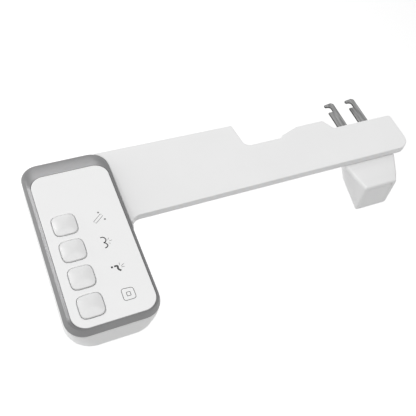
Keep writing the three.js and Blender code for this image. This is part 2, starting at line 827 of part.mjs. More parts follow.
function barCover() {
  const podShape = plate(podRing(-gap, -gap, -gap, podCornerRadius + gap, () => 0), underZ - 1, topZ + 1);
  const body = cut(softPlate(rounded(coverCorners()), underZ, topZ, softEdge), podShape);
  const cavity = plate(rounded(inset(barCorners(), barWall)), underZ - 1, ceilingZ);
  const duct = block(
    podRight - 1,
    coverLeft + barWall + 1,
    barFront + ductFrontInset,
    barFront + ductFrontInset + ductLength,
    underZ - 1,
    ductZ + ductHeight,
  );
  const slots = hookX.map((x) => block(
    x - hookWidth / 2 - gap,
    x + hookWidth / 2 + gap,
    barBack - barWall - 1,
    barBack + bumpProud + 1,
    hookZ - gap,
    hookZ + hookThickness + gap,
  ));
  const bosses = coverScrews.map(([x, y]) => post(x, y, baseTopZ + gap, ceilingZ + 0.5, bossRadius));
  const bores = coverScrews.map(([x, y]) => post(x, y, baseTopZ - 1, ceilingZ - 0.5, screwRadius + gap, 12));
  return cut(join(cut(body, cavity, duct, ...slots), ...bosses), ...bores);
}

function barBase() {
  const floor = plate(rounded(inset(barCorners(), barWall + gap)), underZ, baseTopZ);
  const rib = (y, x0, x1) => block(x0, x1, y - 0.7, y + 0.7, baseTopZ - 0.2, ceilingZ - 2.2);
  const ribs = [
    rib(barFront + ribInset, coverLeft + ribStart, nozzleX - ribStop),
    rib(leadY + 0.8 * ribInset, coverLeft + ribStart, nozzleX - ribStop),
  ];
  const seats = hookX.map((x) => block(
    x - hookWidth / 2,
    x + hookWidth / 2,
    barBack - hookRoot,
    barBack - barWall - gap,
    baseTopZ - 0.2,
    hookZ - gap,
  ));
  const step = block(coverLeft + barWall + 1, coverLeft + barWall + 7, ...tongueY, underZ, tongueTopZ);
  const tongue = block(
    podRight - hullWall - tongueLength,
    coverLeft + barWall + 6,
    ...tongueY,
    ductZ + gap,
    tongueTopZ,
  );
  const solid = join(floor, ...ribs, ...seats, step, tongue);
  const opening = block(
    nozzleX - passageHalf,
    nozzleX + passageHalf,
    barFront + passageInset,
    barFront + housingHidden - passageInset + 1,
    underZ - 1,
    baseTopZ + 1,
  );
  const padPockets = padPlaces.map(([x, y]) => block(
    x - padLength / 2 - gap,
    x + padLength / 2 + gap,
    y - padDepth / 2 - gap,
    y + padDepth / 2 + gap,
    underZ - 1,
    underZ + 0.9,
  ));
  return cut(
    solid,
    opening,
    ...padPockets,
    ...coverScrews.map(([x, y]) => screwHole(x, y, underZ, 5)),
    ...hookHoles().map(([x, y]) => screwHole(x, y, underZ, 5)),
    ...housingScrews.map(([x, y]) => post(x, y, underZ - 1, baseTopZ + 1, screwRadius + gap, 12)),
    post(...tongueBoss, ductZ - 1, tongueTopZ + 1, screwRadius + gap, 12),
  );
}

function hookHoles() {
  return hookX.flatMap((x) => hookHoleYs.map((y) => [x, y]));
}

// Flat blade whose mouth opens towards the pod.
function hookBlade() {
  const half = hookWidth / 2;
  const shoulder = hookReach - hookNose - hookMouth;
  const neck = -half + hookMouthDepth;
  const outline = rounded([
    [-half, -hookRoot, 1],
    [half, -hookRoot, 1],
    [half, hookReach - 2, 1.2],
    [half - 3.4, hookReach, 1.2],
    [-half, hookReach - 1.4, 2.4],
    [-half, shoulder + hookMouth - 0.3, 2],
    [-half + 2.6, shoulder + hookMouth, 0.5],
    [neck, shoulder + hookMouth - 0.5, 3],
    [neck, shoulder, 1.4],
    [-half, shoulder, 1.3],
  ], 4);
  const holes = hookHoleYs.map((y) => post(0, y - barBack, -1, hookThickness + 1, screwRadius + gap, 12));
  return cut(plate(outline, 0, hookThickness), ...holes);
}

function hookClamp() {
  const margin = hookWidth / 2 + 2;
  const outline = rounded(rectangle(
    hookX[0] - margin,
    hookX[1] + margin,
    barBack - hookRoot + 1,
    barBack - barWall - 1.5,
    2,
  ), 3);
  const bores = hookHoles().map(([x, y]) => post(x, y, clampZ - 1, clampZ + 3, screwRadius + gap, 12));
  return cut(plate(outline, clampZ, clampZ + clampThickness), ...bores);
}

const padPlaces = [[0, 0], [-padSpan, 0], [barEnd - 11, 0]];

function restPad([x, y]) {
  const halfX = padLength / 2;
  const halfY = padDepth / 2;
  return plate(rounded(rectangle(x - halfX, x + halfX, y - halfY, y + halfY, 3), 3), 0, underZ + 0.6);
}

// ---------------------------------------------------------------- nozzle housing

const chinPoint = new THREE.Vector2(barFront - chinForward, underZ - chinDrop);
const ridgePoint = new THREE.Vector2(barFront - ridgeForward, underZ - ridgeDrop);
const frontUp = ridgePoint.clone().sub(chinPoint).normalize(); // up the front, in Y and Z
const frontLean = Math.atan2(-frontUp.x, frontUp.y);
const undersideSine = Math.abs(frontUp.x * Math.sin(slope) - frontUp.y * Math.cos(slope));
const exitPoint = frontUp.clone().multiplyScalar(axisHeight / undersideSine).add(chinPoint);

// Sections of the housing from back to front; each is a rounded trapezium in a plane that
// leans as the front does.
function housingRings(wall) {
  const top = underZ - gap;
  const sole = (y) => chinPoint.y + (y - chinPoint.x) * Math.tan(slope);
  const section = (backAt, lean, topEdge, topHalf, footEdge, footHalf, extra) => {
    const corners = inset([
      [-footHalf, footEdge, housingRadius],
      [footHalf, footEdge, housingRadius],
      [topHalf, topEdge, housingRadius],
      [-topHalf, topEdge, housingRadius],
    ], wall + extra);
    return rounded(corners, 3).map(({ x, y: z }) => new THREE.Vector3(nozzleX + x, backAt(z) + lean, z));
  };
  const back = barFront + housingHidden - wall;
  const frontY = (z) => chinPoint.x + (z - chinPoint.y) * (frontUp.x / frontUp.y) + wall;
  const rings = [
    section(() => back, 0, top, housingTopHalf, sole(back), housingRearHalf, 0),
    section(() => barFront, 0, top, housingTopHalf, sole(barFront), housingFootHalf, 0),
  ];
  const radius = Math.max(frontRadius - wall / 2, 1);
  for (let k = 0; k <= 3; k += 1) {
    const angle = (k * Math.PI) / 6;
    const lean = radius * (1 - Math.sin(angle));
    const extra = radius * (1 - Math.cos(angle));
    rings.push(section(frontY, lean, ridgePoint.y, ridgeHalf, chinPoint.y, chinHalf, extra));
  }
  return rings;
}

// Frame of the rods: Y back along the rods, Z square to them.
const rodFrame = new THREE.Group();
rodFrame.position.set(nozzleX, exitPoint.x, exitPoint.y);
rodFrame.rotation.x = slope;
attachment.add(rodFrame);

// Frame of the gate: its hinge, with Z up the front of the housing.
const hingePoint = ridgePoint.clone().addScaledVector(frontUp, -gatePivotDrop);
const hingeInset = barrelRadius + 0.1;
const gateFrame = new THREE.Group();
gateFrame.position.set(
  nozzleX,
  hingePoint.x + hingeInset * Math.cos(frontLean),
  hingePoint.y + hingeInset * Math.sin(frontLean),
);
gateFrame.rotation.x = frontLean;
attachment.add(gateFrame);

const gateLength = ridgePoint.distanceTo(chinPoint) - gatePivotDrop - gateFoot;

function nozzleHousing() {
  const outer = skin(housingRings(0), false);
  const shell = cut(outer, skin(housingRings(housingWall), false));
  const ears = [-1, 1].map((side) => {
    const near = side * (gateHalf + gateClearance);
    const far = side * (ridgeHalf - 0.5);
    const ear = block(Math.min(near, far), Math.max(near, far), -hingeInset, earHalf, -earHalf, earHalf);
    return common(placed(ear, gateFrame), outer);
  });
  const bosses = housingScrews.map(([x, y]) => common(
    post(x, y, underZ - 12, underZ - gap, bossRadius + 0.4),
    outer,
  ));
  const mouth = placed(block(
    -gateHalf - gateClearance,
    gateHalf + gateClearance,
    -hingeInset - 4,
    housingWall + 4,
    -gateLength - gateClearance,
    barrelRadius + gateClearance,
  ), gateFrame);
  const pinBore = placed(barrelX(0, 0, -gateHalf - 3.4, gateHalf + 3.4, pinRadius + gap, 12), gateFrame);
  const open = block(
    nozzleX - passageHalf - 1,
    nozzleX + passageHalf + 1,
    barFront + passageInset - 1,
    barFront + housingHidden - passageInset + 2,
    underZ - 2 * housingWall - 1,
    underZ + 1,
  );
  const bores = housingScrews.map(([x, y]) => post(x, y, underZ - 8, underZ + 1, screwRadius + gap, 12));
  return cut(join(cut(shell, open), ...ears, ...bosses), mouth, pinBore, ...bores);
}

function guardGate() {
  const thick = block(-gateHalf, gateHalf, -hingeInset, -hingeInset + gateThickness, -gateLength, 0);
  const barrel = barrelX(0, 0, -gateHalf, gateHalf, barrelRadius);
  return cut(join(thick, barrel), barrelX(0, 0, -gateHalf - 1, gateHalf + 1, pinRadius + gap, 12));
}

function gatePin() {
  return barrelX(0, 0, -gateHalf - 3, gateHalf + 3, pinRadius, 12);
}

// ---------------------------------------------------------------- telescopic nozzle

const pinionPitchRadius = (gearModule * pinionTeeth) / 2;
const rackPitchZ = 3.2;
const rackFootZ = 0;
const bulkheadY = [tipRecess + tipLength + gap, tipRecess + tipLength + gap + bulkheadThickness];
const pinionY = bulkheadY[1] + 2 * gap + pinionPitchRadius + gearModule;
const pinionZ = rackPitchZ + pinionPitchRadius;
const carriageY = [bulkheadY[1] + wandStroke + 0.5, bulkheadY[1] + wandStroke + 0.5 + carriageLength];
const wandX = [-wandPitch / 2, wandPitch / 2];
const shaftRadius = 1;

// Bulkhead across the housing that guides the two wands.
function nozzleGuide() {
  const slab = placed(block(-housingTopHalf, housingTopHalf, ...bulkheadY, -chinDrop, chinDrop), rodFrame);
  const panelShape = common(slab, skin(housingRings(housingWall + gap), false));
  const bores = wandX.map((x) => barrelY(x, 0, bulkheadY[0] - 1, bulkheadY[1] + 1, wandRadius + gap));
  const rackSlot = block(
    -pinionWidth / 2 - gap,
    pinionWidth / 2 + gap,
    bulkheadY[0] - 1,
    bulkheadY[1] + 1,
    rackFootZ - 1 - gap,
    rackPitchZ + gearModule + gap,
  );
  const ports = hosePorts.map(([x, z]) => placed(barrelY(x, z, bulkheadY[1] - 0.5, bulkheadY[1] + barbLength, hoseRadius - 0.4, 10), rodFrame));
  const hingeRoom = placed(block(
    -housingTopHalf,
    housingTopHalf,
    -chinForward,
    earHalf + gap,
    -earHalf - gap,
    chinDrop,
  ), gateFrame);
  const holes = [...bores, rackSlot].map((hole) => placed(hole, rodFrame));
  return cut(join(panelShape, ...ports), ...holes, hingeRoom);
}

const hosePorts = [[-16.3, 10.5], [-9.5, 10.5]];

// Rack tooth and pinion tooth share the module, the flank angle and the backlash.
function rackTeeth() {
  const pitch = Math.PI * gearModule;
  const flank = Math.tan(THREE.MathUtils.degToRad(20));
  const half = pitch / 4 - gearBacklash / 4;
  const tip = half - gearModule * flank;
  const root = half + 1.2 * gearModule * flank;
  const rootZ = rackPitchZ - 1.25 * gearModule;
  const first = -Math.floor((pinionY - bulkheadY[1] - 1) / pitch);
  const last = Math.floor((carriageY[1] + 3 - pinionY) / pitch);
  const points = [new THREE.Vector2(pinionY + (first - 0.5) * pitch, rackFootZ - 1)];
  points.push(new THREE.Vector2(pinionY + (last + 0.5) * pitch, rackFootZ - 1));
  for (let k = last; k >= first; k -= 1) {
    const middle = pinionY + k * pitch;
    points.push(
      new THREE.Vector2(middle + root, rootZ),
      new THREE.Vector2(middle + tip, rackPitchZ + gearModule),
      new THREE.Vector2(middle - tip, rackPitchZ + gearModule),
      new THREE.Vector2(middle - root, rootZ),
    );
  }
  const bar = plate(points, -pinionWidth / 2, pinionWidth / 2);
  return bar.applyMatrix4(new THREE.Matrix4().makeBasis(
    new THREE.Vector3(0, 1, 0),
    new THREE.Vector3(0, 0, 1),
    new THREE.Vector3(1, 0, 0),
  ));
}

function wandCarriage() {
  const half = wandPitch / 2 + 0.72 * wandRadius;
  const yoke = block(-half, half, ...carriageY, -wandRadius - 0.2, wandRadius + 0.2);
  const channel = block(
    -pinionWidth / 2 - 0.8,
    pinionWidth / 2 + 0.8,
    carriageY[0] - 1,
    carriageY[1] + 1,
    rackFootZ - 0.5,
    wandRadius + 2,
  );
  const skids = [-1, 1].map((side) => block(
    side * (half - 3.5) - 1.5,
    side * (half - 3.5) + 1.5,
    ...carriageY,
    housingWall - axisHeight + gap,
    -wandRadius,
  ));
  const wands = wandX.map((x) => barrelY(x, 0, bulkheadY[0], carriageY[1] - 1, wandRadius));
  const bores = wandX.map((x) => barrelY(x, 0, bulkheadY[0] - 1, carriageY[1] - 3, wandBore));
  return cut(join(cut(join(yoke, ...skids), channel), ...wands, rackTeeth()), ...bores);
}

function sprayRod(x) {
  const rear = carriageY[1] - 6;
  const rod = barrelY(x, 0, tipRecess + tipLength - 0.5, rear, rodRadius);
  const head = new THREE.LatheGeometry([
    new THREE.Vector2(0, tipRecess),
    new THREE.Vector2(tipRadius - 1.8, tipRecess),
    new THREE.Vector2(tipRadius - 0.5, tipRecess + 0.6),
    new THREE.Vector2(tipRadius, tipRecess + 1.6),
    new THREE.Vector2(tipRadius, tipRecess + tipLength),
    new THREE.Vector2(0, tipRecess + tipLength),
  ], 16).translate(x, 0, 0);
  return join(rod, head);
}

function drivePinion() {
  const outline = [];
  const tip = pinionPitchRadius + 0.9 * gearModule;
  const root = pinionPitchRadius - 1.2 * gearModule;
  const pitchHalf = Math.PI / (2 * pinionTeeth) - gearBacklash / 4 / pinionPitchRadius;
  for (let k = 0; k < pinionTeeth; k += 1) {
    const middle = (2 * Math.PI * (k + 0.5)) / pinionTeeth - Math.PI / 2;
    const at = (radius, angle) => outline.push(new THREE.Vector2(radius * Math.cos(angle), radius * Math.sin(angle)));
    at(root, middle - pitchHalf * 1.35);
    at(pinionPitchRadius, middle - pitchHalf);
    at(tip, middle - pitchHalf * 0.5);
    at(tip, middle + pitchHalf * 0.5);
    at(pinionPitchRadius, middle + pitchHalf);
    at(root, middle + pitchHalf * 1.35);
  }
  const wheel = plate(outline, -pinionWidth / 2, pinionWidth / 2).applyMatrix4(new THREE.Matrix4().makeBasis(
    new THREE.Vector3(0, 1, 0),
    new THREE.Vector3(0, 0, 1),
    new THREE.Vector3(1, 0, 0),
  ));
  return join(wheel, barrelX(0, 0, -pinionWidth / 2, motorX - gap, shaftRadius, 12));
}

const motorX = wandPitch / 2 + wandRadius - 0.9;

function driveMotor() {
  const can = barrelX(0, 0, motorX, motorX + motorLength, motorRadius, 24);
  const tab = block(motorX + 2, motorX + 6, motorRadius - 0.5, motorRadius + 0.7, -2, 2);
  return join(can, tab);
}

// ---------------------------------------------------------------- hoses and lead

// A place given in the frame of the rods.
function alongRods(x, y, z) {
  rodFrame.updateMatrixWorld(true);
  return new THREE.Vector3(x, y, z).applyMatrix4(rodFrame.matrixWorld).toArray();
}

function waterHose(k) {
  const [portX, portZ] = hosePorts[k];
  const riserX = podRight - 14 + k * (2 * hoseRadius + 0.5);
  const dropX = nozzleX + portX;
  return tube([
    [valveX[1] + barbLength + gap, hoseYs[k], valveOutZ],
    [riserX, hoseYs[k], valveOutZ],
    [riserX, lineYs[k], lineZ],
    [dropX, lineYs[k], lineZ],
    [dropX, barFront + hoseDropInset, lineZ],
    [dropX, barFront + 0.6 * hoseDropInset, underZ - hoseDropDepth],
    alongRods(portX, bulkheadY[1] + hoseRun, portZ),
    alongRods(portX, bulkheadY[1] + barbLength + gap, portZ),
  ], hoseRadius, 54);
}

// ---------------------------------------------------------------- the pieces

add('pod_hull', podHull(), 'whitePlastic');
add('bezel_ring', bezelRing(), 'silver');
add('panel_frame', panelFrame(), 'greyPlastic');
add('face_plate', facePlate(), 'panelWhite', panel);
['button_stop', 'button_front_wash', 'button_rear_wash', 'button_nozzle_clean'].forEach((name, k) => {
  const key = new THREE.Group();
  key.position.set(buttonX, buttonYs[k], 0);
  panel.add(key);
  add(name, pushButton(), 'buttonWhite', key);
});
add('control_board', controlBoard(), 'board', panel);
buttonYs.forEach((y, k) => add(`switch_${k + 1}`, tactileSwitch(y), 'blackPlastic', panel));
addEach('pod_screw', legPlaces, ([x, y]) => (
  screw(podMiddle + x, podFront + y, hullBottomZ + gap, legScrewLength - gap)
), 'steel');

const inletAxis = new THREE.Group();
inletAxis.position.set(podMiddle, inletY, 0);
attachment.add(inletAxis);
add('water_inlet', waterInlet(), 'brass', inletAxis);
add('inlet_seal', inletSeal(), 'rubber', inletAxis);
add('inlet_nut', inletNut(), 'greyPlastic', inletAxis);
add('valve_block', valveBlock(), 'greyPlastic');
add('solenoid_rear_wash', solenoid(-1), 'blackPlastic');
add('solenoid_front_wash', solenoid(1), 'blackPlastic');
add('power_inlet', powerInlet(), 'blackPlastic');

add('bar_cover', barCover(), 'whitePlastic');
add('bar_base', barBase(), 'whitePlastic');
addEach('base_screw', coverScrews, ([x, y]) => screw(x, y, underZ + gap, baseScrewLength), 'steel');
add('tongue_screw', screw(0, 0, 0, tongueScrewLength).rotateX(Math.PI).translate(
  tongueBoss[0],
  tongueBoss[1],
  tongueTopZ + gap + screwHeadHeight,
), 'steel');
addEach('rest_pad', padPlaces, restPad, 'rubber');
['hook_left', 'hook_right'].forEach((name, k) => {
  add(name, hookBlade().translate(hookX[k], barBack, hookZ), 'steel');
});
add('hook_clamp', hookClamp(), 'steel');
addEach('hook_screw', hookHoles(), ([x, y]) => screw(x, y, underZ + gap, baseScrewLength), 'steel');

add('nozzle_housing', nozzleHousing(), 'whitePlastic');
addEach('housing_screw', housingScrews, ([x, y]) => (
  screw(0, 0, 0, housingScrewLength).rotateX(Math.PI).translate(x, y, baseTopZ + gap + screwHeadHeight)
), 'steel');
add('guard_gate', guardGate(), 'whitePlastic', gateFrame);
add('gate_pin', gatePin(), 'steel', gateFrame);
add('nozzle_guide', nozzleGuide(), 'greyPlastic');
add('wand_carriage', wandCarriage(), 'greyPlastic', rodFrame);
add('spray_rod_rear', sprayRod(wandX[0]), 'whitePlastic', rodFrame);
add('spray_rod_front', sprayRod(wandX[1]), 'whitePlastic', rodFrame);
const drive = new THREE.Group();
drive.position.set(0, pinionY, pinionZ);
rodFrame.add(drive);
add('drive_pinion', drivePinion(), 'brass', drive);
add('drive_motor', driveMotor(), 'steel', drive);
add('hose_rear_wash', waterHose(0), 'hose');
add('hose_front_wash', waterHose(1), 'hose');
add('motor_lead', motorLead(), 'blackPlastic');

function motorLead() {
  const boardEnd = podFront + boardFront + boardLength;
  const boardZ = panelZ(boardEnd) + boardTopZ + 2;
  const leadX = podMiddle + boardLeft + boardWidth - 17;
  return tube([
    [leadX, boardEnd, boardZ],
    [leadX, leadY, boardZ],
    [podRight - leadInset, leadY, lineZ + 3],
    [podRight - leadInset, leadY, lineZ],
    [nozzleX + motorX, leadY, lineZ],
    [nozzleX + motorX, barFront + hoseDropInset - 1, lineZ],
    [nozzleX + motorX, barFront + 0.6 * hoseDropInset + 1, underZ - hoseDropDepth],
    alongRods(motorX + 4, pinionY + motorRadius + 1 + gap, pinionZ),
  ], leadRadius, 40);
}

export default attachment;
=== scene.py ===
"""Dresses a slim bidet attachment: control pod, flat bar, hooks and telescopic nozzle.

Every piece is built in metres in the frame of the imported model: +X along the bar away from
the pod, +Y to the back of the bowl and +Z up, with the origin under the rest pad.
"""

import json
import math

import bmesh
import bpy
from bpy.props import FloatProperty, FloatVectorProperty, PointerProperty
from mathutils import Euler, Matrix, Vector
from mathutils.geometry import tessellate_polygon

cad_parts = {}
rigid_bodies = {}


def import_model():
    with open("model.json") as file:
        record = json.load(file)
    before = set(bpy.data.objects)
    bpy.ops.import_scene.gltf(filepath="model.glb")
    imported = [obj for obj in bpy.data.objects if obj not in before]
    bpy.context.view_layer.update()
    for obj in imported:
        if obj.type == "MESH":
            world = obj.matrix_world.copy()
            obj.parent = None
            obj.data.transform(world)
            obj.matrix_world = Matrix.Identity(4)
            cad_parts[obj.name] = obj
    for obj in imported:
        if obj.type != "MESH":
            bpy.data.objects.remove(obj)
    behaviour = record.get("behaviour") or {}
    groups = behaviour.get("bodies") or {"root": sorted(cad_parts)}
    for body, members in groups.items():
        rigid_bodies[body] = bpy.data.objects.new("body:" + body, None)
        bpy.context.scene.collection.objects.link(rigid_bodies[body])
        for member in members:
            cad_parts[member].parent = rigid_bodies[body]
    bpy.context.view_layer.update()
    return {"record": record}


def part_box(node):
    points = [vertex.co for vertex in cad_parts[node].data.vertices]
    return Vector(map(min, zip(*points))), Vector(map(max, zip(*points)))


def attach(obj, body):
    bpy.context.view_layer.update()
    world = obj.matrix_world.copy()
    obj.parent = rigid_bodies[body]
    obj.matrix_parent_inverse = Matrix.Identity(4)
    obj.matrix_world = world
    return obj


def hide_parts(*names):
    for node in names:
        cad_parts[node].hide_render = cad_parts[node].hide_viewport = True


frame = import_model()

bl_info = {
    "name": "Bidet Attachment",
    "version": (1, 0, 0),
    "blender": (4, 5, 0),
    "location": "View3D > Sidebar > Bidet",
    "description": "Builds the pieces and finishes of a slim bidet attachment",
    "category": "Add Mesh",
}

ROOT = "housing"
BUTTONS = ("button_stop", "button_front_wash", "button_rear_wash", "button_nozzle_clean")
SOFTBOXES = (  # setting, place, point it faces, width and height
    ("overhead", (-0.1, -0.2, 1.6), (-0.1, 0.0, 0.0), (1.3, 1.3)),
    ("back", (-0.2, 1.4, 0.34), (-0.2, 0.0, 0.0), (0.8, 0.32)),
    ("side", (-0.98, 0.43, 0.05), (-0.28, -0.05, 0.01), (0.6, 0.16)),
    ("key", (-0.95, 0.86, 1.17), (-0.28, -0.05, 0.03), (0.26, 0.26)),
)


# ------------------------------------------------------------------ settings


def length(name, description, default):
    """A size in metres that a user can change."""
    return FloatProperty(name=name, description=description, default=default, subtype="DISTANCE", unit="LENGTH")


def colour(name, description, default):
    """A surface colour that a user can change."""
    return FloatVectorProperty(
        name=name, description=description, default=default, size=3, min=0.0, max=1.0, subtype="COLOR"
    )


def brightness(name, description, default):
    """The strength of a light that a user can change."""
    return FloatProperty(name=name, description=description, default=default, min=0.0)


def share(name, description, default):
    """A plain factor from 0 to 1."""
    return FloatProperty(name=name, description=description, default=default, min=0.0, max=1.0, subtype="FACTOR")


class BidetBarSettings(bpy.types.PropertyGroup):
    """Sizes of the flat bar and its hooks."""

    front: length("Front Edge", "Place of the bar's front edge", -0.0344)
    depth: length("Depth", "Depth of the free end", 0.0488)
    thickness: length("Thickness", "Thickness of the bar", 0.009)
    underside: length("Underside", "Height of the bar's underside", 0.0012)
    base_proud: length("Base Proud", "How far the base plate stands out of the cover's skirt", 0.0003)
    shoulder_length: length("Shoulder Length", "Side of the pod to the seat bolt notch", 0.147)
    notch_length: length("Notch Length", "Length of the seat bolt notch", 0.044)
    notch_floor: length("Notch Floor", "Step from the free end's rear edge to the notch's floor", 0.0032)
    bump_proud: length("Bump", "How far the rear bump stands out", 0.0135)
    fillet: length("Inner Corner", "Radius of the corner between the bar and the pod", 0.0105)
    end_radius: length("End Radius", "Radius of the free end's front corner", 0.015)
    edge: length("Edge Radius", "Rounding of the cover's edges", 0.001)
    hook_width: length("Hook Width", "Width of a hook blade", 0.0134)
    hook_reach: length("Hook Reach", "Rear edge of the bar to the tip of a hook", 0.0396)
    hook_root: length("Hook Root", "Length of a hook inside the bar", 0.014)
    hook_nose: length("Hook Nose", "Length of a hook's nose beyond its mouth", 0.0057)
    hook_mouth: length("Hook Mouth", "Width of a hook's mouth", 0.0077)
    hook_throat: length("Hook Throat", "Depth of a hook's mouth", 0.0068)
    hook_edge: length("Hook Edge", "Rounding of a hook's stamped edges", 0.0011)


class BidetPodSettings(bpy.types.PropertyGroup):
    """Sizes of the control pod, its silver bezel and its panel."""

    width: length("Width", "Width of the pod", 0.088)
    length: length("Length", "Length of the pod", 0.1914)
    corner: length("Corner Radius", "Plan radius of the pod's corners", 0.018)
    bottom_corner: length("Bottom Corner", "Plan radius of the corners at the underside", 0.0264)
    depth: length("Depth", "Rim to underside", 0.034)
    edge: length("Bottom Edge", "Rounding of the bottom edge", 0.008)
    rise: length("Rise", "Rim to panel at the front", 0.0156)
    tilt: FloatProperty(
        name="Tilt", description="Fall of the panel to the back", default=math.radians(0.85), subtype="ANGLE"
    )
    bezel_side: length("Bezel Side", "Width of the silver slope at the sides", 0.0056)
    bezel_front: length("Bezel Front", "Width of the silver slope at the front", 0.0005)
    bezel_back: length("Bezel Back", "Width of the silver slope at the back", 0.0244)
    wall_share: share("Wall Share", "Share of the side slope's width that the steep wall takes", 0.48)
    wall_rise: share("Wall Rise", "Share of the rise at which the steep wall ends", 0.8)
    crease: share("Crease", "Share of the rise over which the crease is rounded", 0.03)
    bezel_bow: FloatProperty(name="Bezel Bow", description="Bulge of the slope at the back", default=1.3, min=1.0)
    panel_corner: length("Panel Corner", "Radius of the panel's corners", 0.0135)


class BidetButtonSettings(bpy.types.PropertyGroup):
    """Sizes of the push buttons and the printed symbols."""

    size: length("Size", "Side of a button", 0.0217)
    pitch: length("Pitch", "Distance from button to button", 0.02875)
    column: length("Column", "Middle of the pod to the column of buttons", -0.0185)
    first: length("First", "Front of the pod to the first button", 0.0199)
    height: length("Height", "Crown above the panel", 0.0024)
    shoulder: length("Shoulder", "Top of the button's side above the panel", 0.0001)
    round_over: length("Round Over", "Radius between the side and the crown", 0.0009)
    gap: length("Gap", "Gap round a button", 0.0007)
    squareness: FloatProperty(name="Squareness", description="Exponent of the rounded square", default=4.2)
    line: length("Line", "Width of the printed lines", 0.0005)
    print_height: length("Print Height", "Thickness of the printed ink", 0.00004)


class BidetNozzleSettings(bpy.types.PropertyGroup):
    """Sizes of the nozzle housing, its gate and the spray rods."""

    middle: length("Middle", "Place of the housing along the bar", 0.0544)
    hidden: length("Hidden Depth", "Depth of the housing under the bar", 0.024)
    top_half: length("Top Half Width", "Half width where the housing meets the bar", 0.035)
    top_rear_half: length("Top Rear Half Width", "Half width under the bar at the back", 0.032)
    foot_radius: length("Foot Radius", "Rounding of the lower edges at the front", 0.0046)
    foot_half: length("Foot Half Width", "Half width of the underside at the bar", 0.0274)
    rear_half: length("Rear Half Width", "Half width of the underside at the back", 0.021)
    ridge_forward: length("Ridge Forward", "Front edge of the bar to the ridge", 0.0306)
    ridge_drop: length("Ridge Drop", "Underside of the bar to the ridge", 0.007)
    ridge_half: length("Ridge Half Width", "Half width at the ridge", 0.0222)
    chin_forward: length("Chin Forward", "Front edge of the bar to the chin", 0.0332)
    chin_drop: length("Chin Drop", "Underside of the bar to the chin", 0.0482)
    chin_half: length("Chin Half Width", "Half width at the chin", 0.0216)
    slope: FloatProperty(
        name="Slope", description="Fall of the underside and the rods", default=math.radians(32), subtype="ANGLE"
    )
    radius: length("Radius", "Rounding of the long edges", 0.0036)
    front_radius: length("Front Radius", "Rounding round the front face", 0.0028)
    wall: length("Wall", "Wall of the housing", 0.002)
    gate_half: length("Gate Half Width", "Half width of the guard gate", 0.0152)
    gate_thickness: length("Gate Thickness", "Thickness of the guard gate", 0.0018)
    gate_gap: length("Gate Gap", "Gap round the guard gate", 0.00045)
    pivot_drop: length("Pivot Drop", "Ridge to the hinge of the gate", 0.0065)
    gate_foot: length("Gate Foot", "Chin to the lower edge of the gate", 0.0046)
    barrel: length("Barrel", "Radius of the gate's hinge barrel", 0.0019)
    rod_pitch: length("Rod Pitch", "Distance of the two spray rods", 0.017)
    rod_radius: length("Rod Radius", "Radius of a spray rod", 0.0035)
    tip_radius: length("Tip Radius", "Radius of the tip of a spray rod", 0.0047)
    tip_recess: length("Tip Recess", "Front of the housing to the tips, along the rods", 0.013)
    spray_hole: length("Spray Hole", "Radius of a spray hole", 0.0004)


class BidetFinishSettings(bpy.types.PropertyGroup):
    """Colours of the finishes."""

    shell: colour("Shell", "White moulding of the pod, bar and nozzle", (0.86, 0.86, 0.86))
    panel: colour("Panel", "White moulding of the panel", (0.88, 0.88, 0.88))
    button: colour("Button", "White moulding of the buttons", (0.78, 0.78, 0.78))
    # The silver's colour is kept dark: partly its own satin silver, partly painted shade for the dark surroundings
    # it mirrors
    silver: colour("Silver", "Satin silver coating of the bezel", (0.235, 0.235, 0.238))
    steel: colour("Steel", "Brushed steel of hooks and screws", (0.27, 0.27, 0.27))
    # Painted shade: a dark colour laid on the hooks' rounded edges where shade falls
    edge_shade: colour("Shaded Edge", "Shaded edges of the hooks", (0.07, 0.07, 0.07))
    ink: colour("Ink", "Printed symbols", (0.03, 0.03, 0.03))
    grey_ink: colour("Grey Ink", "Printed symbol of the nozzle cleaning", (0.2, 0.2, 0.2))
    grain: share("Grain", "Strength of the fine moulding grain", 0.25)


class BidetStageSettings(bpy.types.PropertyGroup):
    """Camera, lights and floor."""

    lens: FloatProperty(
        name="Lens", description="Focal length in millimetres", default=52.76, subtype="DISTANCE_CAMERA"
    )
    camera_place: FloatVectorProperty(
        name="Camera Place",
        description="Where the camera stands",
        default=(-0.352746, -0.340426, 0.513152),
        size=3,
        subtype="TRANSLATION",
        unit="LENGTH",
    )
    camera_turn: FloatVectorProperty(
        name="Camera Turn",
        description="Rotation of the camera",
        default=(math.radians(34.317), math.radians(-8.0983), math.radians(-22.3267)),
        size=3,
        subtype="EULER",
    )
    floor_drop: length("Floor", "Distance of the floor under the bar", 0.41)
    floor_glow: brightness("Floor Glow", "Brightness added to the floor", 0.4)
    overhead: brightness("Top Light", "Brightness of the softbox overhead", 1.92)
    back: brightness("Back Light", "Brightness of the softbox behind", 3.2)
    key: brightness("Key Light", "Brightness of the small softbox high at the back left", 15.0)
    side: brightness("Side Light", "Brightness of the softbox at the left", 5.0)
    ambient: brightness("Ambient", "Strength of the surrounding light", 0.76)
    dark_share: share("Dark Side", "Strength of the surrounding light on its dark side", 0.25)
    bright_side: FloatVectorProperty(
        name="Bright Side",
        description="Where the surrounding light is strongest",
        default=(-0.84, -0.15, 0.52),
        size=3,
    )


GROUPS = {
    "bidet_bar": BidetBarSettings,
    "bidet_pod": BidetPodSettings,
    "bidet_button": BidetButtonSettings,
    "bidet_nozzle": BidetNozzleSettings,
    "bidet_finish": BidetFinishSettings,
    "bidet_stage": BidetStageSettings,
}


# ------------------------------------------------------------------ outlines


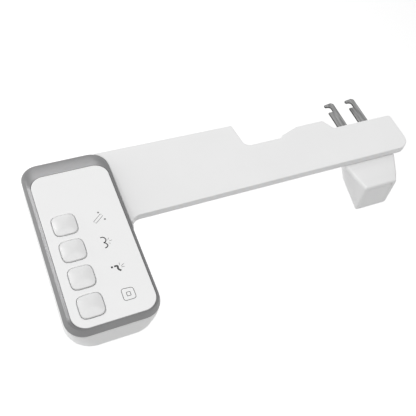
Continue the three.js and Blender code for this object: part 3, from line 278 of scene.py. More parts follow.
def rounded(corners, steps):
    """Points of a closed polygon whose corners (x, y, radius) are rounded by arcs."""
    points = []
    count = len(corners)
    for i, (x, y, radius) in enumerate(corners):
        corner = Vector((x, y))
        if radius <= 0:
            points.append(corner)
            continue
        before = (Vector(corners[i - 1][:2]) - corner).normalized()
        after = (Vector(corners[(i + 1) % count][:2]) - corner).normalized()
        half = before.angle(after) / 2
        centre = corner + (before + after).normalized() * (radius / math.sin(half))
        start = corner + before * (radius / math.tan(half)) - centre
        end = corner + after * (radius / math.tan(half)) - centre
        turn = math.atan2(start.x * end.y - start.y * end.x, start.dot(end))
        for k in range(steps + 1):
            angle = turn * k / steps
            points.append(centre + Matrix.Rotation(angle, 2) @ start)
    return points


def rectangle(x0, x1, y0, y1, radius, steps):
    """A rounded rectangle, counter-clockwise."""
    return rounded([(x0, y0, radius), (x1, y0, radius), (x1, y1, radius), (x0, y1, radius)], steps)


def moved_in(points, distance):
    """The counter-clockwise outline with every side moved inwards."""
    result = []
    count = len(points)
    for i, point in enumerate(points):
        before = (point - points[i - 1]).normalized()
        after = (points[(i + 1) % count] - point).normalized()
        inward = Vector((-before.y - after.y, before.x + after.x)).normalized()
        share_of_side = max(inward.dot(Vector((-after.y, after.x))), 0.3)
        result.append(point + inward * distance / share_of_side)
    return result


def squircle(size, exponent, count=64):
    """A rounded square with softly bowed sides."""
    points = []
    for k in range(count):
        angle = 2 * math.pi * k / count
        reach = abs(math.cos(angle)) ** exponent + abs(math.sin(angle)) ** exponent
        radius = size / 2 * reach ** (-1 / exponent)
        points.append(Vector((radius * math.cos(angle), radius * math.sin(angle))))
    return points


# ------------------------------------------------------------------ meshes


def placed(name, data):
    """A new object in the scene."""
    obj = bpy.data.objects.new(name, data)
    bpy.context.scene.collection.objects.link(obj)
    return obj


def piece(name, vertices, faces, material, sharp=35.0, place=None):
    """A smooth-shaded mesh object with outward faces."""
    mesh = bpy.data.meshes.new(name)
    mesh.from_pydata([tuple(v) for v in vertices], [], faces)
    work = bmesh.new()
    work.from_mesh(mesh)
    bmesh.ops.remove_doubles(work, verts=work.verts, dist=1e-7)
    bmesh.ops.recalc_face_normals(work, faces=work.faces)
    work.to_mesh(mesh)
    work.free()
    mesh.shade_smooth()
    mesh.set_sharp_from_angle(angle=math.radians(sharp))
    mesh.materials.append(material)
    if place is not None:
        mesh.transform(place)
    return placed(name, mesh)


def joined(name, parts):
    """One object from several, keeping the first one's material."""
    work = bmesh.new()
    for part in parts:
        work.from_mesh(part.data)
    mesh = parts[0].data
    work.to_mesh(mesh)
    work.free()
    for part in parts[1:]:
        bpy.data.objects.remove(part)
    parts[0].name = name
    return parts[0]


def loft(rings, closed=False):
    """Vertices and faces of a skin through rings of equally many points, capped unless it is closed."""
    count = len(rings[0])
    vertices = [point for ring in rings for point in ring]
    faces = []
    for k in range(len(rings) if closed else len(rings) - 1):
        low = k * count
        high = (k + 1) % len(rings) * count
        for i in range(count):
            j = (i + 1) % count
            faces.append((low + i, low + j, high + j, high + i))
    if not closed:
        faces.append(tuple(reversed(range(count))))
        faces.append(tuple((len(rings) - 1) * count + i for i in range(count)))
    return vertices, faces


def eased_edge(radius, steps=4):
    """Steps of a rounded edge, as (distance in, distance down)."""
    return [
        (radius * (1 - math.cos(math.pi / 2 * k / steps)), radius * (1 - math.sin(math.pi / 2 * k / steps)))
        for k in range(steps + 1)
    ]


def plate(outline, low, high, edge, holes=(), foot_edge=None):
    """A slab with rounded edges, and holes whose rims are rounded too."""
    foot = edge if foot_edge is None else foot_edge
    flat = 0.15 * edge
    profile = [(foot + flat, low)]
    profile += [(inwards, low + down) for inwards, down in reversed(eased_edge(foot))]
    profile += [(inwards, high - down) for inwards, down in eased_edge(edge)]
    profile += [(edge + flat, high)]
    vertices, faces = [], []
    borders = []
    for loop, sign in [(outline, 1)] + [(hole, -1) for hole in holes]:
        start = len(vertices)
        count = len(loop)
        for inwards, z in profile:
            vertices += [Vector((p.x, p.y, z)) for p in moved_in(loop, sign * inwards)]
        for k in range(len(profile) - 1):
            for i in range(count):
                j = (i + 1) % count
                a = start + k * count
                faces.append((a + i, a + j, a + count + j, a + count + i))
        borders.append((start, start + (len(profile) - 1) * count, count))
    for side in (0, 1):
        loops = [[vertices[border[side] + i] for i in range(border[2])] for border in borders]
        index = [border[side] + i for border in borders for i in range(border[2])]
        faces += [tuple(index[i] for i in corner) for corner in tessellate_polygon(loops)]
    return vertices, faces


def ribbon(points, width, low, high, closed):
    """A flat printed line along points."""
    half = width / 2
    count = len(points)
    sides = [[], []]
    for i, point in enumerate(points):
        before = points[i - 1] if closed or i else point
        after = points[(i + 1) % count] if closed or i < count - 1 else point
        along = (after - before).normalized()
        across = Vector((-along.y, along.x)) * half
        sides[0].append(point + across)
        sides[1].append(point - across)
    vertices, faces = [], []
    for z in (low, high):
        for side in sides:
            vertices += [Vector((p.x, p.y, z)) for p in side]
    steps = count if closed else count - 1
    for i in range(steps):
        j = (i + 1) % count
        a, b, c, d = i, i + count, i + 2 * count, i + 3 * count
        e, f, g, h = j, j + count, j + 2 * count, j + 3 * count
        faces += [(a, b, f, e), (c, g, h, d), (a, e, g, c), (b, d, h, f)]
    if not closed:
        last = count - 1
        faces += [(0, 2 * count, 3 * count, count), (last, last + count, last + 3 * count, last + 2 * count)]
    return vertices, faces


def circle(radius, count):
    """Points of a circle round the origin, counter-clockwise."""
    return [
        Vector((radius * math.cos(2 * math.pi * k / count), radius * math.sin(2 * math.pi * k / count)))
        for k in range(count)
    ]


def turned(profile, count):
    """A body turned about Z from (radius, height) pairs."""
    return loft([[Vector((p.x, p.y, z)) for p in circle(radius, count)] for radius, z in profile])


def block(low, high):
    """A box between two corners."""
    bottom = [(low[0], low[1]), (high[0], low[1]), (high[0], high[1]), (low[0], high[1])]
    return loft([[Vector((x, y, z)) for x, y in bottom] for z in (low[2], high[2])])


def carved(body, cutters):
    """The body with the cutters cut out of it."""
    for cutter in cutters:
        step = body.modifiers.new("carve", "BOOLEAN")
        step.operation = "DIFFERENCE"
        step.solver = "EXACT"
        step.object = cutter
    bpy.context.view_layer.update()
    mesh = bpy.data.meshes.new_from_object(body.evaluated_get(bpy.context.evaluated_depsgraph_get()))
    body.modifiers.clear()
    body.data = mesh
    for cutter in cutters:
        bpy.data.objects.remove(cutter)
    mesh.shade_smooth()
    mesh.set_sharp_from_angle(angle=math.radians(35))
    return body


# ------------------------------------------------------------------ finishes


def bare_tree(owner):
    """The emptied node tree of a material or a world."""
    owner.use_nodes = True
    owner.node_tree.nodes.clear()
    return owner.node_tree


def node(tree, kind, **values):
    """Adds a shader node and sets its inputs by name."""
    made = tree.nodes.new(kind)
    for key, value in values.items():
        if hasattr(made, key):
            setattr(made, key, value)
        else:
            made.inputs[key.replace("_", " ")].default_value = value
    return made


def finish(
    name, base, rough, metal=0.0, spread=0.03, grain_scale=900.0, grain=0.05, stretch=(1.0, 1.0, 1.0), rim_tint=1.0
):
    """A procedural finish: clouded colour, uneven gloss and a fine grain."""
    material = bpy.data.materials.get(name)
    if material is not None:
        return material
    material = bpy.data.materials.new(name)
    tree = bare_tree(material)
    out = node(tree, "ShaderNodeOutputMaterial")
    tint = (rim_tint, rim_tint, rim_tint, 1)
    shader = node(tree, "ShaderNodeBsdfPrincipled", Metallic=metal, Specular_Tint=tint)
    place = node(tree, "ShaderNodeTexCoord")
    mapping = node(tree, "ShaderNodeMapping", Scale=stretch)
    clouds = node(tree, "ShaderNodeTexNoise", Scale=22.0, Detail=3.0, Roughness=0.5)
    fine = node(tree, "ShaderNodeTexNoise", Scale=grain_scale, Detail=2.0, Roughness=0.6)
    tone = node(tree, "ShaderNodeValToRGB")
    tone.color_ramp.elements[0].position = 0.3
    tone.color_ramp.elements[0].color = (*[c * (1 - spread) for c in base], 1)
    tone.color_ramp.elements[1].position = 0.7
    tone.color_ramp.elements[1].color = (*[min(c * (1 + spread), 1.0) for c in base], 1)
    gloss = node(tree, "ShaderNodeMapRange", To_Min=rough * 0.85, To_Max=min(rough * 1.2, 1.0))
    bump = node(tree, "ShaderNodeBump", Strength=grain, Distance=0.0002)
    link = tree.links.new
    link(place.outputs["Object"], mapping.inputs["Vector"])
    link(mapping.outputs["Vector"], clouds.inputs["Vector"])
    link(mapping.outputs["Vector"], fine.inputs["Vector"])
    link(clouds.outputs["Fac"], tone.inputs["Fac"])
    link(tone.outputs["Color"], shader.inputs["Base Color"])
    link(fine.outputs["Fac"], gloss.inputs["Value"])
    link(gloss.outputs["Result"], shader.inputs["Roughness"])
    link(fine.outputs["Fac"], bump.inputs["Height"])
    link(bump.outputs["Normal"], shader.inputs["Normal"])
    link(shader.outputs["BSDF"], out.inputs["Surface"])
    return material


def shell_finish():
    """Smooth white moulding."""
    looks = context_finish()
    return finish("shell_white", looks.shell, 0.32, spread=0.008, grain=looks.grain * 0.12)


def panel_finish():
    """White moulding of the panel."""
    looks = context_finish()
    return finish("panel_moulding", looks.panel, 0.36, spread=0.006, grain=looks.grain * 0.12)


def button_finish():
    """White moulding of the buttons."""
    looks = context_finish()
    return finish("button_moulding", looks.button, 0.24, spread=0.006, grain=looks.grain * 0.1)


def silver_finish():
    """Satin silver coating with fine metallic flakes; its colour is kept dark and its grazing reflection dimmed,
    painted shade for the dark surroundings it mirrors.
    """
    return finish(
        "bezel_silver",
        context_finish().silver,
        0.36,
        metal=0.75,
        spread=0.06,
        grain_scale=2400.0,
        grain=0.08,
        # Dims the reflection at grazing angles: painted shade on the bezel's steep walls
        rim_tint=0.7,
    )


def steel_finish():
    """Brushed stainless steel with lines along the blades."""
    return finish(
        "brushed_steel",
        context_finish().steel,
        0.34,
        metal=0.85,
        spread=0.45,
        grain_scale=260.0,
        grain=0.12,
        stretch=(16.0, 2.0, 9.0),
    )


def painted_edge_shade_finish():
    """Dark steel painted on the stamped edges as painted shade of their rounded faces."""
    return finish("painted_edge_shade", context_finish().edge_shade, 0.4, metal=0.7, spread=0.2, grain=0.1)


def ink_finish():
    """Dark printed ink."""
    return finish("symbol_ink", context_finish().ink, 0.5, spread=0.15, grain=0.02)


def brass_finish():
    """Plated brass of the water inlet."""
    return finish("plated_brass", (0.6, 0.56, 0.46), 0.28, metal=0.95, spread=0.08, grain=0.1)


def grey_finish():
    """Light grey moulding of the hidden pieces."""
    return finish("grey_moulding", (0.52, 0.52, 0.52), 0.48, spread=0.03, grain=0.1)


def context_finish():
    """The finish settings of the scene."""
    return bpy.context.scene.bidet_finish


# ------------------------------------------------------------------ places


def pod():
    """Settings of the pod with its edges in the frame of the part."""
    size = bpy.context.scene.bidet_pod
    low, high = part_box("bezel_ring")
    return size, low[0], high[0], low[1], high[1]


def rim():
    """Height of the bar's top and of the pod's rim."""
    bar = bpy.context.scene.bidet_bar
    return bar.underside + bar.thickness


def panel_frame():
    """Matrix of the panel: X from the pod's middle, Y back from its front, Z out of the face."""
    size, left, right, front, _ = pod()
    place = Matrix.Translation(((left + right) / 2, front, rim() + size.rise))
    return place @ Matrix.Rotation(-size.tilt, 4, "X")


def panel_height(y):
    """Height of the panel's face at a place along the pod."""
    size, _, _, front, _ = pod()
    return rim() + size.rise - (y - front) * math.tan(size.tilt)


def pod_ring(side, front_in, back_in, radius, height):
    """Outline of the pod moved in by its own amount at the sides, front and back."""
    _, left, right, front, back = pod()
    points = rectangle(left + side, right - side, front + front_in, back - back_in, max(radius, 0.0008), 12)
    return [Vector((p.x, p.y, height(p.y))) for p in points]


def rod_frame():
    """Matrix of the rods: Y back along the rods, Z square to them."""
    size = bpy.context.scene.bidet_nozzle
    chin, _, up = nozzle_front()
    height = 0.009
    sine = abs(up.x * math.sin(size.slope) - up.y * math.cos(size.slope))
    mouth = chin + up * (height / sine)
    place = Matrix.Translation((size.middle, mouth.x, mouth.y))
    return place @ Matrix.Rotation(size.slope, 4, "X")


def gate_frame():
    """Matrix of the gate: X along its hinge, Z up the front of the housing."""
    size = bpy.context.scene.bidet_nozzle
    _, ridge, up = nozzle_front()
    lean = math.atan2(-up.x, up.y)
    hinge = ridge - up * size.pivot_drop
    inset = hinge_inset()
    place = Matrix.Translation((size.middle, hinge.x + inset * math.cos(lean), hinge.y + inset * math.sin(lean)))
    return place @ Matrix.Rotation(lean, 4, "X")


def hinge_inset():
    """Depth of the gate's hinge behind the housing's front."""
    return bpy.context.scene.bidet_nozzle.barrel + 0.0001


def nozzle_front():
    """Chin, ridge and upward direction of the housing's front, in Y and Z."""
    size = bpy.context.scene.bidet_nozzle
    bar = bpy.context.scene.bidet_bar
    chin = Vector((bar.front - size.chin_forward, bar.underside - size.chin_drop))
    ridge = Vector((bar.front - size.ridge_forward, bar.underside - size.ridge_drop))
    return chin, ridge, (ridge - chin).normalized()


# ------------------------------------------------------------------ operators


class BidetBuilder:
    """Shared ground of the operators."""

    bl_options = {"REGISTER", "UNDO"}

    def execute(self, context):
        self.build(context.scene)
        return {"FINISHED"}


class BIDET_OT_pod_hull(BidetBuilder, bpy.types.Operator):
    """Builds the rounded lower shell of the control pod"""

    bl_idname = "bidet.pod_hull"
    bl_label = "Pod Hull"

    def build(self, scene):
        size = scene.bidet_pod
        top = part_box("pod_hull")[1][2]
        wall = 0.0022
        rim_edge = 0.0005
        seen_inside = 0.004
        base = rim() - size.depth
        rings = []
        for k in range(9):
            angle = math.pi / 2 * k / 8
            extra = size.edge * (1 - math.sin(angle))
            z = base + size.edge * (1 - math.cos(angle))
            rings.append(self.ring(size, 1.0, extra, z))
        for k in range(1, 13):
            z = base + size.edge + (top - rim_edge - base - size.edge) * k / 12
            rings.append(self.ring(size, max((rim() - z) / (size.depth - size.edge), 0.0), 0.0, z))
        for inwards, down in eased_edge(rim_edge)[1:]:
            rings.append(self.ring(size, 0.0, inwards, top - down))
        inner = pod_ring(wall, wall, wall, size.corner - wall, lambda y: top)
        rings.append([Vector((p.x, p.y, top)) for p in inner])
        rings.append([Vector((p.x, p.y, top - seen_inside)) for p in rings[-1]])
        vertices, faces = loft(rings)
        hull = piece("pod_hull_shell", vertices, faces, shell_finish(), sharp=40)
        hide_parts("pod_hull")
        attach(hull, ROOT)

    def ring(self, size, share_down, extra, z):
        """Outline of the hull at a height; its corners grow rounder towards the underside."""
        radius = size.corner + (size.bottom_corner - size.corner) * share_down**2 - extra
        return pod_ring(extra, extra, extra, radius, lambda y: z)


class BIDET_OT_bezel(BidetBuilder, bpy.types.Operator):
    """Builds the silver bezel that slopes up to the panel"""

    bl_idname = "bidet.bezel"
    bl_label = "Bezel"

    def build(self, scene):
        size = scene.bidet_pod
        lip = 0.001
        foot = 0.0014
        reveal = 0.0002
        face = 0.0022
        ledge = 0.003
        steep = size.wall_share / size.wall_rise
        flat = (1 - size.wall_share) / (1 - size.wall_rise)

        def ring(up, extra=0.0, drop=0.0):
            above = up - size.wall_rise
            side = size.wall_share + (flat if above > 0 else steep) * above
            if abs(above) < size.crease:
                bend = (above + size.crease) ** 2 / (4 * size.crease)
                side = size.wall_share + steep * above + (flat - steep) * bend
            back = up**size.bezel_bow
            return pod_ring(
                size.bezel_side * side + extra,
                size.bezel_front * side + extra,
                size.bezel_back * back + extra,
                size.corner + (size.panel_corner - size.corner) * (side + back) / 2 - extra,
                lambda y: rim() + (panel_height(y) - reveal - rim()) * up - drop,
            )

        heights = [k / 10 * (size.wall_rise - size.crease) for k in range(10)]
        heights += [size.wall_rise + size.crease * (k / 4 - 1) for k in range(9)]
        heights += [size.wall_rise + size.crease + (1 - size.wall_rise - size.crease) * k / 5 for k in range(1, 5)]
        rings = [ring(0, foot, lip), ring(0, 0.0003, lip), ring(0, 0.0001, lip - 0.0002)]
        rings += [ring(up) for up in heights]
        rings += [
            ring(1, -0.0001, 0.0001),
            ring(1, 0.0, 0.0002),
            ring(1, 0.0, face),
            ring(1, ledge, face),
            ring(1, ledge, face + 0.001),
            ring(0.6, 0.0015, 0.0012),
        ]
        vertices, faces = loft(rings, closed=True)
        bezel = piece("bezel_shell", vertices, faces, silver_finish(), sharp=50)
        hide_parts("bezel_ring")
        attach(bezel, ROOT)


class BIDET_OT_panel(BidetBuilder, bpy.types.Operator):
    """Builds the white panel with its four button wells"""

    bl_idname = "bidet.panel"
    bl_label = "Panel"

    def build(self, scene):
        size = scene.bidet_pod
        button = scene.bidet_button
        gap = 0.0003
        thickness = 0.0022
        half = size.width / 2 - size.bezel_side - gap
        back = size.length - size.bezel_back - gap
        outline = rectangle(-half, half, size.bezel_front + gap, back, size.panel_corner, 16)
        holes = []
        for k in range(len(BUTTONS)):
            middle = Vector((button.column, button.first + k * button.pitch))
            holes.append([p + middle for p in squircle(button.size + 2 * button.gap, button.squareness)])
        vertices, faces = plate(outline, -thickness, 0.0, 0.0006, holes, foot_edge=0.0002)
        panel = piece("panel_face", vertices, faces, panel_finish(), place=panel_frame())
        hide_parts("face_plate")
        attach(panel, ROOT)


class BIDET_OT_buttons(BidetBuilder, bpy.types.Operator):
    """Builds the four domed push buttons"""

    bl_idname = "bidet.buttons"
    bl_label = "Buttons"

    def build(self, scene):
        for k, name in enumerate(BUTTONS):
            self.button(scene, name, k)

    def button(self, scene, name, k):
        size = scene.bidet_button
        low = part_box(name)[0][2]
        flange = size.size + 0.0024
        flange_foot = -0.0037
        flange_top = -0.0025

        def ring(width, z):
            return [Vector((p.x, p.y, z)) for p in squircle(width, size.squareness)]

        rings = [ring(flange, flange_foot), ring(flange, flange_top), ring(size.size, flange_top)]
        for inwards, down in eased_edge(size.round_over, 6):
            rings.append(ring(size.size - 2 * inwards, size.shoulder + size.round_over - down))
        edge = size.size - 2 * size.round_over
        low_crown = size.shoulder + size.round_over
        for step in range(1, 13):
            inwards = step / 13
            crown = low_crown + (size.height - low_crown) * (1 - (1 - inwards) ** 2)
            rings.append(ring(edge * (1 - inwards), crown))
        vertices, faces = loft(rings)
        place = panel_frame() @ Matrix.Translation((size.column, size.first + k * size.pitch, 0))
        cap = piece(name + "_cap", vertices, faces, button_finish(), sharp=48, place=place)
        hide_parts(name)
        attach(cap, name)
        if min((place @ Vector(v)).z for v in vertices) < low - 1e-4:
            raise RuntimeError(name + " reaches below its solid")


class BIDET_OT_symbols(BidetBuilder, bpy.types.Operator):
    """Prints one generic symbol beside each button"""

    bl_idname = "bidet.symbols"
    bl_label = "Symbols"

    def build(self, scene):
        inks = {"symbol_clean": finish("symbol_grey", scene.bidet_finish.grey_ink, 0.5, spread=0.1, grain=0.02)}
        line = scene.bidet_button.line
        self.low = 0.000005
        self.high = scene.bidet_button.print_height
        lines = {
            "symbol_clean": self.wand(line),
            "symbol_rear": self.rear(line),
            "symbol_front": self.seated(line),
            "symbol_stop": self.stop(line),
        }
        for name, parts in lines.items():
            made = [piece(name, *part, inks.get(name, ink_finish()), place=panel_frame()) for part in parts]
            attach(joined(name, made), ROOT)

    def path(self, places, width, closed=False):
        """A printed line along places given in millimetres on the panel."""
        points = [Vector((x / 1000, y / 1000)) for x, y in places]
        return ribbon(points, width, self.low, self.high, closed)

    def dot(self, x, y, radius):
        points = [
            Vector((x / 1000 + radius * math.cos(a * math.pi / 8), y / 1000 + radius * math.sin(a * math.pi / 8)))
            for a in range(16)
        ]
        return loft([[Vector((p.x, p.y, z)) for p in points] for z in (self.low, self.high)])

    def curve(self, places, steps=6):
        """A smooth path through places."""
        points = [Vector(place) for place in places]
        ends = [2 * points[0] - points[1], *points, 2 * points[-1] - points[-2]]
        smooth = []
        for a, b, c, d in zip(ends, ends[1:], ends[2:], ends[3:]):
            for k in range(steps):
                t = k / steps
                bend = (2 * a - 5 * b + 4 * c - d) * t**2 + (3 * b - a - 3 * c + d) * t**3
                smooth.append(b + ((c - a) * t + bend) / 2)
        smooth.append(points[-1])
        return [(p.x, p.y) for p in smooth]

    def rays(self, pairs, line):
        return [self.path(pair, line) for pair in pairs]

    def wand(self, line):
        body = [(7.7, 101.6), (9.5, 99.4), (17.8, 106.0), (16.2, 108.6)]
        parts = [self.path(body, line, True)]
        parts += [self.dot(14.6, 110.6, line * 1.9), self.dot(18.6, 101.6, line * 1.9)]
        return parts

    def rear(self, line):
        upper = self.curve([(8.5, 83.1), (11.3, 82.6), (12.8, 79.7), (11.5, 77.3), (9.9, 77.0)])
        lower = self.curve([(9.9, 77.0), (11.6, 75.8), (12.7, 73.5), (11.5, 71.7), (9.6, 71.1)])
        rays = [[(14.2, 78.5), (15.7, 80.8)], [(15.3, 77.4), (18.0, 77.7)], [(14.2, 75.6), (15.8, 74.3)]]
        return [self.path(upper, line * 2.1), self.path(lower, line * 2.1), *self.rays(rays, line * 0.6)]

    def seated(self, line):
        body = self.curve([(11.5, 50.3), (14.4, 49.9), (14.3, 46.9), (16.4, 44.5)])
        rays = [[(16.5, 50.3), (16.9, 52.8)], [(17.5, 49.1), (20.7, 50.6)], [(17.5, 47.9), (20.3, 47.7)]]
        return [self.dot(9.4, 50.0, line * 2.1), self.path(body, line * 3.4), *self.rays(rays, line * 0.7)]

    def stop(self, line):
        outer = rounded([(9.7, 14.8, 2.4), (20.9, 14.8, 2.4), (20.7, 25.8, 2.4), (9.9, 26.8, 2.4)], 6)
        inner = rounded([(13.6, 18.6, 0.5), (17.0, 18.6, 0.5), (17.0, 22.4, 0.5), (13.6, 22.4, 0.5)], 3)
        return [self.path([(p.x, p.y) for p in points], line, True) for points in (outer, inner)]


class BIDET_OT_bar(BidetBuilder, bpy.types.Operator):
    """Builds the white cover of the bar"""

    bl_idname = "bidet.bar"
    bl_label = "Bar Cover"

    def build(self, scene):
        bar = scene.bidet_bar
        low = bar.underside + bar.base_proud
        vertices, faces = plate(self.outline(scene), low, rim(), bar.edge, foot_edge=0.0003)
        cover = piece("bar_cover_shell", vertices, faces, shell_finish(), sharp=32)
        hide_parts("bar_cover")
        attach(cover, ROOT)

    def outline(self, scene):
        bar = scene.bidet_bar
        size, _, right, _, back = pod()
        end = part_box("bar_cover")[1][0]
        gap = 0.0003
        near = right + gap
        rear = bar.front + bar.depth
        notch_left = right + bar.shoulder_length
        notch_right = notch_left + 0.004 + bar.notch_length
        ramp_end = notch_right + 0.025
        bump_end = ramp_end + 0.035
        bump_rear = rear + bar.bump_proud
        tip = bar.front - bar.fillet - 0.001
        corners = [
            (near, tip, 0),
            (near + 0.001, tip, 0),
            (near + 0.001, bar.front, bar.fillet),
            (end, bar.front, bar.end_radius),
            (end, rear, 0.003),
            (bump_end + 0.008, rear, 0.002),
            (bump_end, bump_rear, 0.004),
            (ramp_end, bump_rear, 0.006),
            (notch_right + 0.0015, rear + bar.notch_floor + 0.0025, 0.0012),
            (notch_right, rear + bar.notch_floor, 0.0012),
            (notch_left + 0.004, rear + bar.notch_floor, 0.008),
            (notch_left, back, 0.0025),
        ]
        points = rounded(corners, 12)
        seam = 0.008
        tuck = 0.01
        reach = size.corner + gap
        centre = Vector((right - size.corner, back - size.corner))
        start = math.acos(seam / reach)
        points.append(Vector((right - tuck, back)))
        for k in range(13):
            angle = start * (1 - k / 12)
            points.append(centre + Vector((reach * math.cos(angle), reach * math.sin(angle))))
        return points


class BIDET_OT_hooks(BidetBuilder, bpy.types.Operator):
    """Builds the two steel hook blades"""

    bl_idname = "bidet.hooks"
    bl_label = "Hooks"

    level = 0.98  # a face that leans more than this gets the dark edge colour, painted shade of the rounded edges

    def build(self, scene):
        bar = scene.bidet_bar
        for name in ("hook_left", "hook_right"):
            low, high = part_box(name)
            middle = (low[0] + high[0]) / 2
            rear = bar.front + bar.depth
            vertices, faces = plate(self.outline(bar), low[2], high[2], bar.hook_edge, foot_edge=0.0002)
            place = Matrix.Translation((middle, rear, 0))
            blade = piece(name + "_blade", vertices, faces, steel_finish(), place=place)
            blade.data.materials.append(painted_edge_shade_finish())
            # Faces that lean away from flat get the dark edge colour: painted shade on the rounded edges
            for face in blade.data.polygons:
                face.material_index = int(abs(face.normal.z) < self.level)
            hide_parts(name)
            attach(blade, ROOT)

    def outline(self, bar):
        half = bar.hook_width / 2
        reach = bar.hook_reach
        mouth = bar.hook_mouth
        shoulder = reach - bar.hook_nose - mouth
        neck = -half + bar.hook_throat
        return rounded(
            [
                (-half, -bar.hook_root, 0.001),
                (half, -bar.hook_root, 0.001),
                (half, reach - 0.002, 0.0012),
                (half - 0.0034, reach, 0.0012),
                (-half, reach - 0.0014, 0.0024),
                (-half, shoulder + mouth - 0.0003, 0.002),
                (-half + 0.0026, shoulder + mouth, 0.0005),
                (neck, shoulder + mouth - 0.0005, 0.003),
                (neck, shoulder, 0.0014),
                (-half, shoulder, 0.0013),
            ],
            6,
        )


class BIDET_OT_nozzle_housing(BidetBuilder, bpy.types.Operator):
    """Builds the hollow housing that tapers to the guard gate"""

    bl_idname = "bidet.nozzle_housing"
    bl_label = "Nozzle Housing"

    def build(self, scene):
        size = scene.bidet_nozzle
        bar = scene.bidet_bar
        housing = piece("nozzle_housing_shell", *loft(self.rings(scene, 0.0)), shell_finish())
        inside = piece("inside", *loft(self.rings(scene, size.wall)), shell_finish())
        length_down = self.gate_length(size)
        reach = size.gate_half + size.gate_gap
        lug_end = 0.0188
        passage_half = 0.02
        inset = hinge_inset()
        mouth = piece(
            "mouth",
            *block(
                (-reach, -inset - 0.004, -length_down - size.gate_gap), (reach, 0.006, size.barrel + size.gate_gap)
            ),
            shell_finish(),
            place=gate_frame(),
        )
        passage = piece(
            "passage",
            *block(
                (size.middle - passage_half, bar.front + 0.004, bar.underside - 0.005),
                (size.middle + passage_half, bar.front + size.hidden - 0.003, bar.underside + 0.001),
            ),
            shell_finish(),
        )
        carved(housing, [inside, mouth, passage])
        lugs = [
            piece(
                "lug",
                *block(
                    (min(side * reach, side * lug_end), -inset + 0.0012, -0.003),
                    (max(side * reach, side * lug_end), 0.003, 0.003),
                ),
                shell_finish(),
                place=gate_frame(),
            )
            for side in (-1, 1)
        ]
        housing = joined("nozzle_housing_shell", [housing, *lugs])
        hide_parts("nozzle_housing")
        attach(housing, ROOT)

    @staticmethod
    def gate_length(size):
        """Length of the gate from its hinge to its lower edge."""
        chin, ridge, _ = nozzle_front()
        return (ridge - chin).length - size.pivot_drop - size.gate_foot

    def rings(self, scene, wall):
        """Sections of the housing from back to front, moved in by a wall."""
        size = scene.bidet_nozzle
        bar = scene.bidet_bar
        chin, ridge, up = nozzle_front()
        seam = 0.0003
        top = bar.underside - seam
        sole = [chin.y + (y - chin.x) * math.tan(size.slope) for y in (bar.front, bar.front + size.hidden - wall)]

        def section(back, lean, top_edge, top_half, foot_edge, foot_half, extra, foot_radius):
            corners = [
                Vector((-foot_half, foot_edge)),
                Vector((foot_half, foot_edge)),
                Vector((top_half, top_edge)),
                Vector((-top_half, top_edge)),
            ]
            inner = moved_in(corners, wall + extra)
            radii = [max(r - wall - extra, 0.0006) for r in (foot_radius, foot_radius, size.radius, size.radius)]
            points = rounded([(p.x, p.y, radius) for p, radius in zip(inner, radii)], 7)
            return [Vector((size.middle + p.x, back(p.y) + lean, p.y)) for p in points]

        rings = [
            section(
                lambda z: bar.front + size.hidden - wall,
                0.0,
                top,
                size.top_rear_half,
                sole[1],
                size.rear_half,
                0.0,
                size.radius,
            ),
            section(lambda z: bar.front, 0.0, top, size.top_half, sole[0], size.foot_half, 0.0, size.radius),
        ]
        for k in (1, 2, 3):
            along = k / 4
            y = bar.front + (chin.x + size.front_radius - bar.front) * along
            rings.append(
                section(
                    lambda z: y,
                    0.0,
                    top + (ridge.y - top) * along,
                    size.top_half + (size.ridge_half - size.top_half) * along,
                    sole[0] + (chin.y - sole[0]) * along,
                    size.foot_half + (size.chin_half - size.foot_half) * along,
                    0.0,
                    size.radius + (size.foot_radius - size.radius) * along,
                )
            )
        radius = max(size.front_radius - wall / 2, 0.001)
        for k in range(9):
            angle = math.pi / 2 * k / 8
            rings.append(
                section(
                    lambda z: chin.x + (z - chin.y) * up.x / up.y + wall,
                    radius * (1 - math.sin(angle)),
                    ridge.y,
                    size.ridge_half,
                    chin.y,
                    size.chin_half,
                    radius * (1 - math.cos(angle)),
                    size.foot_radius,
                )
            )
        return rings


class BIDET_OT_guard_gate(BidetBuilder, bpy.types.Operator):
    """Builds the hinged gate in front of the spray rods"""

    bl_idname = "bidet.guard_gate"
    bl_label = "Guard Gate"

    def build(self, scene):
        size = scene.bidet_nozzle
        inset = hinge_inset()
        low = -BIDET_OT_nozzle_housing.gate_length(size)
        wider = 0.0003
        chamfer = 0.0002
        half = size.gate_half + wider
        outline = rectangle(-half, half, low - wider, 0.0, 0.0006, 3)
        turn = gate_frame() @ Matrix.Rotation(math.pi / 2, 4, "X")
        slab = piece(
            "guard_gate_leaf",
            *plate(outline, inset - size.gate_thickness, inset, 0.0003),
            shell_finish(),
            place=turn,
        )
        profile = [
            (size.barrel - chamfer, -size.gate_half),
            (size.barrel, -size.gate_half + chamfer),
            (size.barrel, size.gate_half - chamfer),
            (size.barrel - chamfer, size.gate_half),
        ]
        barrel = piece(
            "barrel",
            *turned(profile, 24),
            shell_finish(),
            place=gate_frame() @ Matrix.Rotation(math.pi / 2, 4, "Y"),
        )
        leaf = joined("guard_gate_leaf", [slab, barrel])
        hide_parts("guard_gate")
        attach(leaf, "guard_gate")


